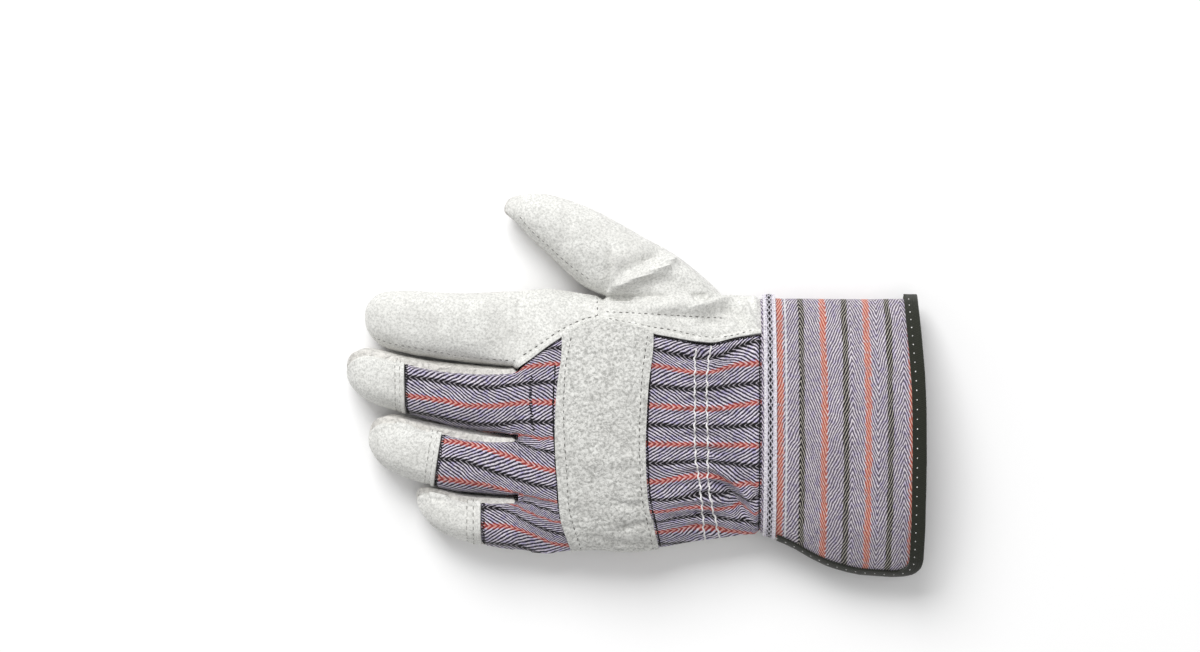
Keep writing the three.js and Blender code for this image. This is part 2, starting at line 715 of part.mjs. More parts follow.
// The pulse patch lies under the cuff from the wrist seam; its sides are [x, y].
const PATCH_THUMB_SIDE = [[57.6, 9], [66, 13], [76, 19.5], [84, 19.5], [90, 14], [93.6, 5]];
const PATCH_LITTLE_SIDE = [[57.6, -37], [66, -41], [76, -47.5], [84, -47.5], [90, -42], [93.6, -33]];

function pulsePatch() {
  const sheet = new Sheet();
  const stations = PATCH_THUMB_SIDE.map(([x]) => x);
  const pairAt = (x, step) => {
    const y = mix(along(PATCH_THUMB_SIDE, x), along(PATCH_LITTLE_SIDE, x), step / 6);
    const lowest = floorAt(x) - SEAM;
    return [new THREE.Vector3(x, y, lowest - LEATHER), new THREE.Vector3(x, y, lowest)];
  };
  return sheet.patch(stations, range(0, 6), pairAt);
}

// ---- the glove ----

const FINISH = {
  leather: { color: 0xd7d9d4, roughness: 0.92 },
  palmLeather: { color: 0xcfd0ca, roughness: 0.96 },
  cloth: { color: 0x8f8ca6, roughness: 0.9 },
  cuffCloth: { color: 0x8a88a0, roughness: 0.88 },
  binding: { color: 0x2c332b, roughness: 0.85 },
  tape: { color: 0xb9bac0, roughness: 0.85 },
};

function piece(name, shape, finish) {
  const geometry = shape instanceof Sheet ? shape.geometry() : shape;
  const material = new THREE.MeshStandardMaterial({ ...FINISH[finish], metalness: 0 });
  const mesh = new THREE.Mesh(geometry, material);
  mesh.name = name;
  return mesh;
}

const glove = new THREE.Group();
glove.add(piece("palm", palm(), "palmLeather"));
glove.add(piece("palm_insert", palmInsert(), "palmLeather"));
glove.add(piece("index_palm", indexPalm(), "palmLeather"));
glove.add(piece("index_back", indexBack(), "leather"));
glove.add(piece("thumb_palm", thumbPalm(), "palmLeather"));
glove.add(piece("thumb_back", thumbBack(), "leather"));
glove.add(piece("hand_back", handBack(), "cloth"));
glove.add(piece("knuckle_strap", knuckleStrap(), "leather"));
for (const name of Object.keys(CAP_X)) glove.add(piece(`${name}_tip`, tipCap(name), "leather"));
glove.add(piece("cuff", cuff(), "cuffCloth"));
glove.add(piece("cuff_tape", cuffTape(), "tape"));
glove.add(piece("cuff_binding", cuffBinding(), "binding"));
glove.add(piece("pulse_patch", pulsePatch(), "palmLeather"));

export default glove;
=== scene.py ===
"""A left-hand work glove: leather palm, thumb, index finger and tips, a cloth back and a stiff cuff.

Sizes are in millimetres, as a glove maker writes them, and MM turns them into metres.
+X runs to the cuff's mouth, +Y to the thumb, and +Z up out of the back of the hand.
"""

import logging
import math
from dataclasses import dataclass, field
from enum import Enum
from typing import Callable, Sequence

import bpy
import numpy as np
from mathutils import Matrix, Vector, kdtree, noise
from mathutils.bvhtree import BVHTree


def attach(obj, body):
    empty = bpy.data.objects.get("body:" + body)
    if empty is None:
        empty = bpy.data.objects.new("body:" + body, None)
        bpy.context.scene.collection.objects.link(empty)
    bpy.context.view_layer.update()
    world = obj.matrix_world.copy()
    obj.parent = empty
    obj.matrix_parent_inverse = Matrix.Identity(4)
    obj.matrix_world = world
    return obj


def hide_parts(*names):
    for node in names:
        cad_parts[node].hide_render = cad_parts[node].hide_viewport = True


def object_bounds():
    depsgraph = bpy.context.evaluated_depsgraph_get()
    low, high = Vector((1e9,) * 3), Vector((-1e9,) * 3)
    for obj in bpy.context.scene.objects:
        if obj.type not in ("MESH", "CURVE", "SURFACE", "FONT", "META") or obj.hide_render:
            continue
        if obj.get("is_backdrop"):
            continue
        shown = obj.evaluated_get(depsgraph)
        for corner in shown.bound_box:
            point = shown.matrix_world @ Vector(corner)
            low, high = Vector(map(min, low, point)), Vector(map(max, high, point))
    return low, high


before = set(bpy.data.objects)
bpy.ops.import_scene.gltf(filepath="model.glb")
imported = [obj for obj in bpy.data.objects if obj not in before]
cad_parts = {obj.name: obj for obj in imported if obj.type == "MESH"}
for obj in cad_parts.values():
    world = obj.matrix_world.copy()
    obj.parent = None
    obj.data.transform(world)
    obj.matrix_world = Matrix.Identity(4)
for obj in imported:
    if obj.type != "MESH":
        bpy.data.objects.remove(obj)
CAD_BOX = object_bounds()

MM = 0.001
PER_METRE = 1000.0
FAR = 1e9
LOG = logging.getLogger("glove")
Points = Sequence[Sequence[float]]


# ---- curves ----


def along(points: Points, x: np.ndarray) -> np.ndarray:
    """A smooth curve through [x, value] pairs, level past both ends.

    Args:
        points: the pairs, in rising x.
        x: where to read the curve.

    Returns:
        The curve's values, in the shape of x.
    """
    knots = np.asarray(points, float)
    xs, ys = knots[:, 0], knots[:, 1]
    index = np.arange(len(xs))
    before = np.maximum(index - 1, 0)
    after = np.minimum(index + 1, len(xs) - 1)
    slopes = (ys[after] - ys[before]) / (xs[after] - xs[before])
    at = np.clip(np.asarray(x, float), xs[0], xs[-1])
    i = np.clip(np.searchsorted(xs, at, side="left") - 1, 0, len(xs) - 2)
    width = xs[i + 1] - xs[i]
    u = (at - xs[i]) / width
    blend = u * u * (3 - 2 * u)
    swing = u * (1 - u) * ((1 - u) * slopes[i] - u * slopes[i + 1]) * width
    return ys[i] + (ys[i + 1] - ys[i]) * blend + swing


def smooth_step(u: np.ndarray) -> np.ndarray:
    """0 below zero, 1 above one, and a smooth step between."""
    k = np.clip(u, 0.0, 1.0)
    return k * k * (3 - 2 * k)


def mix(a: np.ndarray, b: np.ndarray, k: np.ndarray) -> np.ndarray:
    """The value a share k of the way from a to b."""
    return a + (b - a) * k


def fullness(part: np.ndarray) -> np.ndarray:
    """Makes a round section fuller, as a stuffed finger is."""
    return np.abs(part) ** 0.8 * np.sign(part)


def refined(values: Sequence[float], steps: int) -> np.ndarray:
    """The same stations with each gap cut into steps."""
    index = np.arange((len(values) - 1) * steps + 1) / steps
    return np.interp(index, np.arange(len(values)), np.asarray(values, float))


def plan_line(points: Points, step: float = 1.0) -> np.ndarray:
    """Points at even steps along a plan outline given by a few of its points.

    Args:
        points: the outline's points, joined by a smooth curve.
        step: the distance between the points that come back.

    Returns:
        An array of plan points.
    """
    known = np.asarray(points, float)
    runs = np.concatenate([[0.0], np.cumsum(np.linalg.norm(np.diff(known, axis=0), axis=1))])
    at = np.linspace(0.0, runs[-1], max(int(round(runs[-1] / step)), 1) + 1)
    columns = [along(np.column_stack([runs, known[:, axis]]), at) for axis in range(known.shape[1])]
    return np.column_stack(columns)


def beside(line: np.ndarray, distance: float) -> np.ndarray:
    """A plan line moved sideways, to its left where the distance is positive."""
    run = np.gradient(line, axis=0)
    run /= np.linalg.norm(run, axis=1, keepdims=True)
    return line + distance * np.column_stack([-run[:, 1], run[:, 0]])


# ---- the glove's form ----


@dataclass(frozen=True)
class Finger:
    """One finger's stations from root to tip, centre line, half-width and top height."""

    stations: tuple[float, ...]
    tip: float
    centre: Points
    half: Points
    top: Points
    round: float = 13.0
    lean: float = 0.0


FINGERS: dict[str, Finger] = {
    "index": Finger(
        (-52, -59, -68, -79, -91, -103, -111, -117, -120), -121.6,
        [[-121.6, 31], [-110, 29.6], [-98, 28.2], [-79, 26.4], [-52, 25.1]],
        [[-121.6, 12.6], [-110, 13.2], [-98, 14.2], [-79, 15.4], [-52, 17.1]],
        [[-121.6, 22], [-100, 25], [-75, 27], [-52, 28]],
    ),
    "middle": Finger(
        (-52, -59, -68, -79, -91, -103, -112, -120, -126, -128.8), -130,
        [[-130, 7.6], [-117, 4.4], [-98, -0.7], [-79, -4.2], [-52, -7.5]],
        [[-130, 12.2], [-117, 12.6], [-98, 13.2], [-79, 14.6], [-52, 15.5]],
        [[-130, 22], [-100, 25.5], [-75, 27.5], [-52, 29]],
    ),
    "ring": Finger(
        (-52, -59, -68, -78, -88, -98, -107, -114, -118), -120,
        [[-120, -21.2], [-108, -25.6], [-98, -28.8], [-79, -33.4], [-52, -36.5]],
        [[-120, 12], [-108, 12.6], [-98, 13.2], [-79, 14], [-52, 13.5]],
        [[-120, 21], [-95, 24.5], [-72, 26.5], [-52, 28]],
        round=14.0, lean=0.16,
    ),
    "little": Finger(
        (-52, -58, -64, -71, -79, -86, -92, -96.5), -98.6,
        [[-98.6, -50.4], [-90, -54.9], [-75, -59.6], [-52, -62.2]],
        [[-98.6, 8.8], [-88, 9.5], [-75, 10.6], [-52, 12.2]],
        [[-98.6, 18], [-80, 21.5], [-52, 25.5]],
    ),
}
CAP_X = {"middle": -103.0, "ring": -88.0, "little": -71.0}


@dataclass(frozen=True)
class Fold:
    """A soft ridge or trough: its line in plan, its half-width and its rise."""

    line: Points
    width: float
    rise: float

    def height(self, x: np.ndarray, y: np.ndarray) -> np.ndarray:
        """Rise of the fold at plan points, faded out towards its ends.

        Args:
            x: their x.
            y: their y.

        Returns:
            The rise at each.
        """
        knots = np.asarray(self.line, float)
        nearest = np.full(x.shape, FAR)
        share = np.zeros(x.shape)
        runs = np.linalg.norm(np.diff(knots, axis=0), axis=1)
        total = runs.sum()
        done = 0.0
        for start, end, run in zip(knots[:-1], knots[1:], runs):
            way = (end - start) / run
            at = np.clip((x - start[0]) * way[0] + (y - start[1]) * way[1], 0.0, run)
            away = np.hypot(x - start[0] - way[0] * at, y - start[1] - way[1] * at)
            closer = away < nearest
            nearest = np.where(closer, away, nearest)
            share = np.where(closer, (done + at) / total, share)
            done += run
        taper = smooth_step(3.0 * share + 0.25) * smooth_step(3.0 * (1.0 - share) + 0.25)
        return self.rise * np.exp(-((nearest / self.width) ** 2)) * taper


@dataclass(frozen=True)
class HandForm:
    """The glove's sections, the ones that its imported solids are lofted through, eased at the thumb."""

    thumb_edge: Points = (
        (-52, 42.2), (-38, 43.6), (-22, 40.8), (-14, 40.2), (13, 40.2), (40, 40.8), (57, 40.9),
    )
    little_edge: Points = (
        (-52, -74.5), (-40, -75.8), (-24, -73.2), (-4, -74), (11, -72.6), (35, -68.8), (57, -66.9),
        (65, -69), (73, -72.8), (81, -77.4), (90, -81.4), (106, -85), (130, -85.4),
    )
    top: Points = (
        (-52, 28.5), (-22, 34), (10, 35.5), (34, 33), (47, 30.5), (57, 32.5), (90, 35), (130, 39),
    )
    seam: Points = ((-52, 12), (10, 13), (57, 12.5), (90, 10.5), (130, 9.5))
    thumb_shape: Points = ((-52, 0.75), (40, 0.8), (66, 1.05), (100, 1.35), (130, 1.4))
    little_shape: Points = ((-52, 0.8), (57, 0.85), (100, 1.0), (130, 1.0))
    back_edge: Points = (
        (-52, 8), (-33, 21.6), (-24, 26.2), (-14, 28.8), (8, 23.6), (34, 19.6), (47, 22), (57, 23.6),
    )
    palm_edge: Points = ((-52, 8), (-45, 13.6), (-38, 20.5), (-30, 31))
    crotches: tuple[float, ...] = (8.0, -23.0, -50.0)
    crotch_x: float = -52.0
    crotch_gap: float = 0.4
    star_x: float = -14.0
    wrist_x: float = 57.0
    insert_x: float = -39.5
    index_end_x: float = -21.0
    root_x: float = 13.0
    root_half: float = 27.0
    root_rise: float = 16.0
    sink: float = 4.0
    patch_lift: float = 1.9
    mouth_lift: float = 1.3
    finger_seam: float = 11.0
    finger_swell: float = 24.0
    thumb_inner: Points = (
        (-14, 40.2), (-17, 42.3), (-22, 45), (-30, 51.6), (-38.5, 59.6), (-47, 67.4), (-52.4, 73.2),
        (-55.9, 76.8),
    )
    thumb_outer: Points = (
        (40, 40.8), (30.5, 50), (13, 62.6), (-3, 71), (-20, 80.2), (-35, 85.4), (-45, 86.75),
        (-51.4, 85.9),
    )
    thumb_top: tuple[float, ...] = (29, 30, 29, 27.5, 26, 24, 21.5, 17)
    thumb_tip: tuple[float, ...] = (-57.9, 82.0, 11.0)
    thumb_seam: float = 12.0
    folds: tuple[Fold, ...] = (
        Fold(((-11, 42), (20, 58)), 4, 2.2),
        Fold(((-6, 38), (31, 47.5)), 4, -2.6),
        Fold(((9, 36), (36, 38.5)), 3.5, 1.6),
        Fold(((12, 30.5), (42, 31)), 3.5, -1.4),
        Fold(((-13, 44), (-8, 68)), 4, -1.4),
        Fold(((42, -40), (54, -58)), 5, -1.8),
    )

    def fold_rise(self, x: np.ndarray, y: np.ndarray) -> np.ndarray:
        """Rise of the main folds at plan points."""
        return sum(fold.height(x, y) for fold in self.folds)

    def floor(self, x: np.ndarray) -> np.ndarray:
        """Height of the underside: flat under the hand, then up on the pulse patch and binding."""
        patch = self.patch_lift * smooth_step((x - 38.0) / 18.0)
        return patch - (self.patch_lift - self.mouth_lift) * smooth_step((x - 96.0) / 16.0)

    def opening(self, x: np.ndarray) -> np.ndarray:
        """How far the thumb's hole opens the section: 0 outside it, 1 at its middle."""
        across = (x - self.root_x) / self.root_half
        return np.sqrt(np.clip(1.0 - across * across, 0.0, None))

    def soft_opening(self, x: np.ndarray) -> np.ndarray:
        """The same away from the hole's rim, where the leather bridges its two ends softly."""
        across = np.clip((x - self.root_x) / self.root_half / 1.3, -1.0, 1.0)
        return np.cos(across * math.pi / 2) ** 2

    def body(self, x: np.ndarray, angle: np.ndarray, depth: float) -> np.ndarray:
        """Points of the hand's and cuff's sections.

        Args:
            x: stations along the glove.
            angle: 0 at the thumb side, a quarter turn on top, a half turn at the little finger.
            depth: how far inside the outer face, negative outside it.

        Returns:
            Points, with one more axis than x and angle together.
        """
        x, angle = np.broadcast_arrays(np.asarray(x, float), np.asarray(angle, float))
        thumb_edge, little_edge = along(self.thumb_edge, x), along(self.little_edge, x)
        seam, top, floor = along(self.seam, x), along(self.top, x), self.floor(x)
        across, up = np.cos(angle), np.sin(angle)
        on_thumb = across > 0
        shape = np.where(on_thumb, along(self.thumb_shape, x), along(self.little_shape, x))
        y = (thumb_edge + little_edge) / 2 + ((thumb_edge - little_edge) / 2 - depth) * across
        opening = np.where(on_thumb, self.opening(x), 0.0)
        reach = np.abs(up) ** shape
        soft = np.where(on_thumb, self.soft_opening(x), 0.0)
        lift = mix(opening, soft, smooth_step(reach * 3.0)) * self.root_rise / (top - seam)
        above = seam + (top - seam - depth) * mix(reach, 1.0, lift)
        above = above + self.fold_rise(x, y) * smooth_step(reach * 2 + opening)
        below = seam - (seam - floor + self.sink - depth) * mix(reach, 1.0, opening)
        z = np.where(up >= 0, above, np.maximum(below, floor + depth))
        return np.stack([x, y, z], axis=-1)

    def top_angle(self, x: np.ndarray, y: np.ndarray) -> np.ndarray:
        """The angle on the top half of the section whose point lies at y."""
        thumb_edge, little_edge = along(self.thumb_edge, x), along(self.little_edge, x)
        across = (2 * y - thumb_edge - little_edge) / (thumb_edge - little_edge)
        return np.arccos(np.clip(across, -1.0, 1.0))

    def gap(self, x: np.ndarray) -> np.ndarray:
        """Half the space that the crotches keep open, closed a little behind them."""
        return self.crotch_gap * np.maximum(0.0, 1.0 - (x - self.crotch_x) / 6.0)

    def cloth_shares(self) -> np.ndarray:
        """Shares of the way from the cloth's inner edge to the side seam, one for each column."""
        first = self.crotches[0] - self.crotch_gap
        start = self.top_angle(self.crotch_x, first)
        edges = [first]
        for crotch in self.crotches[1:]:
            edges += [crotch + self.crotch_gap, crotch - self.crotch_gap]
        spots = [mix(edges[2 * i], edges[2 * i + 1], k / 4) for i in range(2) for k in range(5)]
        shares = [(self.top_angle(self.crotch_x, y) - start) / (math.pi - start) for y in spots]
        little = (self.top_angle(self.crotch_x, edges[4]) - start) / (math.pi - start)
        shares += [mix(little, 1.0, k / 6) for k in range(7)]
        return np.array(shares)

    def share(self, column: np.ndarray) -> np.ndarray:
        """The share of one column, whole or between two."""
        shares = self.cloth_shares()
        return np.interp(column, np.arange(len(shares)), shares)

    def cloth_angle(self, x: np.ndarray, column: np.ndarray) -> np.ndarray:
        """Angle of a column of the cloth back."""
        return mix(self.top_angle(x, along(self.back_edge, x) - self.gap(x)), math.pi, self.share(column))

    def leather_angle(self, x: np.ndarray, column: np.ndarray) -> np.ndarray:
        """Angle of a column of the leather beside the cloth back."""
        return self.top_angle(x, along(self.back_edge, x) + self.gap(x)) * column / 6

    def palm_edge_angle(self, x: np.ndarray, shift: np.ndarray) -> np.ndarray:
        """Angle of the seam between the palm and the index finger's palm side."""
        last = self.palm_edge[-1][0]
        close = smooth_step((x - last) / (self.index_end_x - last))
        return self.top_angle(x, along(self.palm_edge, x) + shift) * (1 - close)

    def palm_angle(self, x: np.ndarray, column: np.ndarray) -> np.ndarray:
        """Angle of a column of the palm."""
        inner = np.where(x >= self.index_end_x, 0.0, self.palm_edge_angle(x, -self.gap(x)))
        return 2 * math.pi - mix(inner, math.pi, self.share(column))

    def index_palm_angle(self, x: np.ndarray, column: np.ndarray) -> np.ndarray:
        """Angle of a column of the index finger's palm side."""
        inner = np.where(x >= self.index_end_x, 0.0, self.palm_edge_angle(x, self.gap(x)))
        return 2 * math.pi - inner * column / 6

    def root_ring(self, name: str, turns: np.ndarray, depth: float) -> np.ndarray:
        """The root ring of a finger: the hand's own section, with upright walls at the crotches.

        Args:
            name: the finger.
            turns: the way round.
            depth: how far inside the outer face.

        Returns:
            The ring's points.
        """
        order = list(FINGERS).index(name)
        first_wall, second_wall = order > 0, order < len(self.crotches)
        once = np.where(turns > 2 * math.pi + 1e-9, turns - 2 * math.pi, turns)
        below = once > math.pi + 1e-9
        position = np.where(below, 2 * math.pi - once, once) / (math.pi / 8)
        column = np.clip(position, 2 if first_wall else 0, 6 if second_wall else 8)
        if name == "index":
            angle = self.top_angle(self.crotch_x, self.crotches[0] + self.crotch_gap) * column / 6
        else:
            first = {"middle": 0, "ring": 5, "little": 10}[name]
            start = self.top_angle(self.crotch_x, self.crotches[0] - self.crotch_gap)
            angle = mix(start, math.pi, self.share(first + column - 2))
        points = self.body(self.crotch_x, np.where(below, 2 * math.pi - angle, angle), depth)
        drop = np.zeros(once.shape)
        if first_wall:
            walls = position <= 2
            points[walls, 1] = self.crotches[order - 1] - self.crotch_gap - depth
            drop = np.where(position < 2, 1 - position / 2, drop)
        if second_wall:
            walls = position >= 6
            points[walls, 1] = self.crotches[order] + self.crotch_gap + depth
            drop = np.where(position > 6, (position - 6) / 2, drop)
        points[:, 2] = mix(points[:, 2], self.finger_seam, drop)
        return points

    def finger(self, name: str, stations: np.ndarray, turns: np.ndarray, depth: float) -> np.ndarray:
        """Points of a finger, a row for each station and a column for each turn.

        Args:
            name: the finger.
            stations: x from root to tip.
            turns: 0 at the thumb side, over the top to a half turn, and on below.
            depth: how far inside the outer face.

        Returns:
            The points.
        """
        finger = FINGERS[name]
        length = self.crotch_x - finger.tip
        station = stations[:, None]
        x = self.crotch_x + (station - self.crotch_x) * (length - depth) / length
        left = np.maximum(station - finger.tip, 0.0)
        tip_round = np.sqrt(np.clip(1 - np.clip(1 - left / finger.round, 0, None) ** 2, 0, None))
        up, across = np.sin(turns)[None, :], fullness(np.cos(turns))[None, :]
        side = (along(finger.half, station) - depth) * tip_round * across
        top = along(finger.top, station)
        swell = smooth_step((self.crotch_x - station) / self.finger_swell)
        y = along(finger.centre, station) + side
        seam = mix(self.finger_seam, top / 2 * 0.92, 1 - tip_round)
        height = np.where(up >= 0, top - self.finger_seam, self.finger_seam + self.sink)
        z = np.maximum(seam + (height - depth) * tip_round * fullness(up), depth)
        ring = np.stack([x + finger.lean * side * swell, y, z + 0 * y], axis=-1)
        root = self.root_ring(name, turns, depth)[None]
        return mix(root, ring, swell[..., None])

    def thumb_ring(self, row: int, turns: np.ndarray, depth: float) -> np.ndarray:
        """One ring of the thumb. Turn 0 is its outer edge, a half turn the crotch's.

        Args:
            row: which ring, from the root.
            turns: the way round.
            depth: how far inside the outer face.

        Returns:
            The ring's points.
        """
        across, up = np.cos(turns), np.sin(turns)
        if row == 0:
            x = self.root_x + self.root_half * across
            angle = np.where(turns <= math.pi + 1e-9, 0.0, 2 * math.pi - 1e-9)
            root = self.body(x, angle, 0.0)
            root[:, 0] -= depth * across
            root[:, 2] -= depth * up
            return root
        inner, outer = np.array(self.thumb_inner[row]), np.array(self.thumb_outer[row])
        half = np.linalg.norm(outer - inner) / 2
        plan = (inner + outer) / 2 + (outer - inner)[None] / 2 * (across * (half - depth) / half)[:, None]
        reach = fullness(up)
        above = self.thumb_seam + (self.thumb_top[row] - self.thumb_seam - depth) * reach
        above = above + self.fold_rise(plan[:, 0], plan[:, 1]) * reach
        below = np.maximum(self.thumb_seam + (self.thumb_seam + self.sink - depth) * reach, depth)
        return np.column_stack([plan, np.where(up >= 0, above, below)])

    def thumb(self, turns: np.ndarray, depth: float) -> np.ndarray:
        """The whole thumb, with a ring halfway between each two of the main ones.

        Args:
            turns: the way round.
            depth: how far inside the outer face.

        Returns:
            Rings of points from root to tip.
        """
        rings = [self.thumb_ring(row, turns, depth) for row in range(len(self.thumb_inner))]
        tip = np.array(self.thumb_tip) + depth * np.array([1.0, -0.5, 0.0])
        last = rings[-1]
        centre = last.mean(axis=0)
        made = []
        for i in range(len(rings) - 1):
            before, after = rings[max(i - 1, 0)], rings[min(i + 2, len(rings) - 1)]
            half_way = (9 * (rings[i] + rings[i + 1]) - before - after) / 16
            made += [rings[i], half_way]
        eighth = math.sin(math.pi / 4)
        made += [last, centre + (tip - centre) * eighth + (last - centre) * eighth]
        made.append(np.broadcast_to(tip, last.shape))
        return np.stack(made)


FORM = HandForm()
REFINE = 2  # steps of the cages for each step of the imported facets
THUMB_TURNS = 8


def turns_between(first: int, last: int) -> np.ndarray:
    """Turns round a finger from one eighth of a half turn to another."""
    return np.arange(first * REFINE, last * REFINE + 1) * math.pi / 8 / REFINE


def columns_between(first: int, last: int) -> np.ndarray:
    """Columns of the hand from one to another."""
    return np.arange(first * REFINE, last * REFINE + 1) / REFINE


def hand_stations(low: float, high: float) -> np.ndarray:
    """Stations of the hand between two; round the thumb's hole they stand on its even turns."""
    before = refined([-52, -46, FORM.insert_x, -33, -27, FORM.index_end_x, FORM.star_x], REFINE)
    root = FORM.root_x - FORM.root_half * np.cos(turns_between(0, THUMB_TURNS))
    after = refined([40, 45.5, 51, FORM.wrist_x], REFINE)
    every = np.concatenate([before[:-1], root, after[1:]])
    return every[(every > low - 0.01) & (every < high + 0.01)]


# ---- seams, creases and lumps that the cloth and leather carry ----


@dataclass(frozen=True)
class Seam:
    """How a piece's surface runs up to an edge: its height there, a roll beside it, a stitch groove."""

    edge: float
    roll: float = 0.0
    roll_at: float = 1.6
    groove: float = 0.0
    groove_at: float = 3.1

    def height(self, away: np.ndarray) -> np.ndarray:
        """Rise of the surface at distances from the edge."""
        rise = self.edge * np.exp(-((away / 1.35) ** 2))
        rise = rise + self.roll * np.exp(-(((away - self.roll_at) / 1.1) ** 2))
        return rise + self.groove * np.exp(-(((away - self.groove_at) / 0.55) ** 2))


TUCKED = Seam(edge=-1.5, roll=0.55, roll_at=2.7)
WELTED = Seam(edge=-0.9, roll=1.0, roll_at=1.5, groove=-0.6, groove_at=3.0)
LAPPED = Seam(edge=0.35, roll=0.55, roll_at=1.2, groove=-0.5, groove_at=2.9)
UNDER = Seam(edge=-0.9, roll=0.2, roll_at=3.0)
PLAIN = Seam(edge=-0.15)


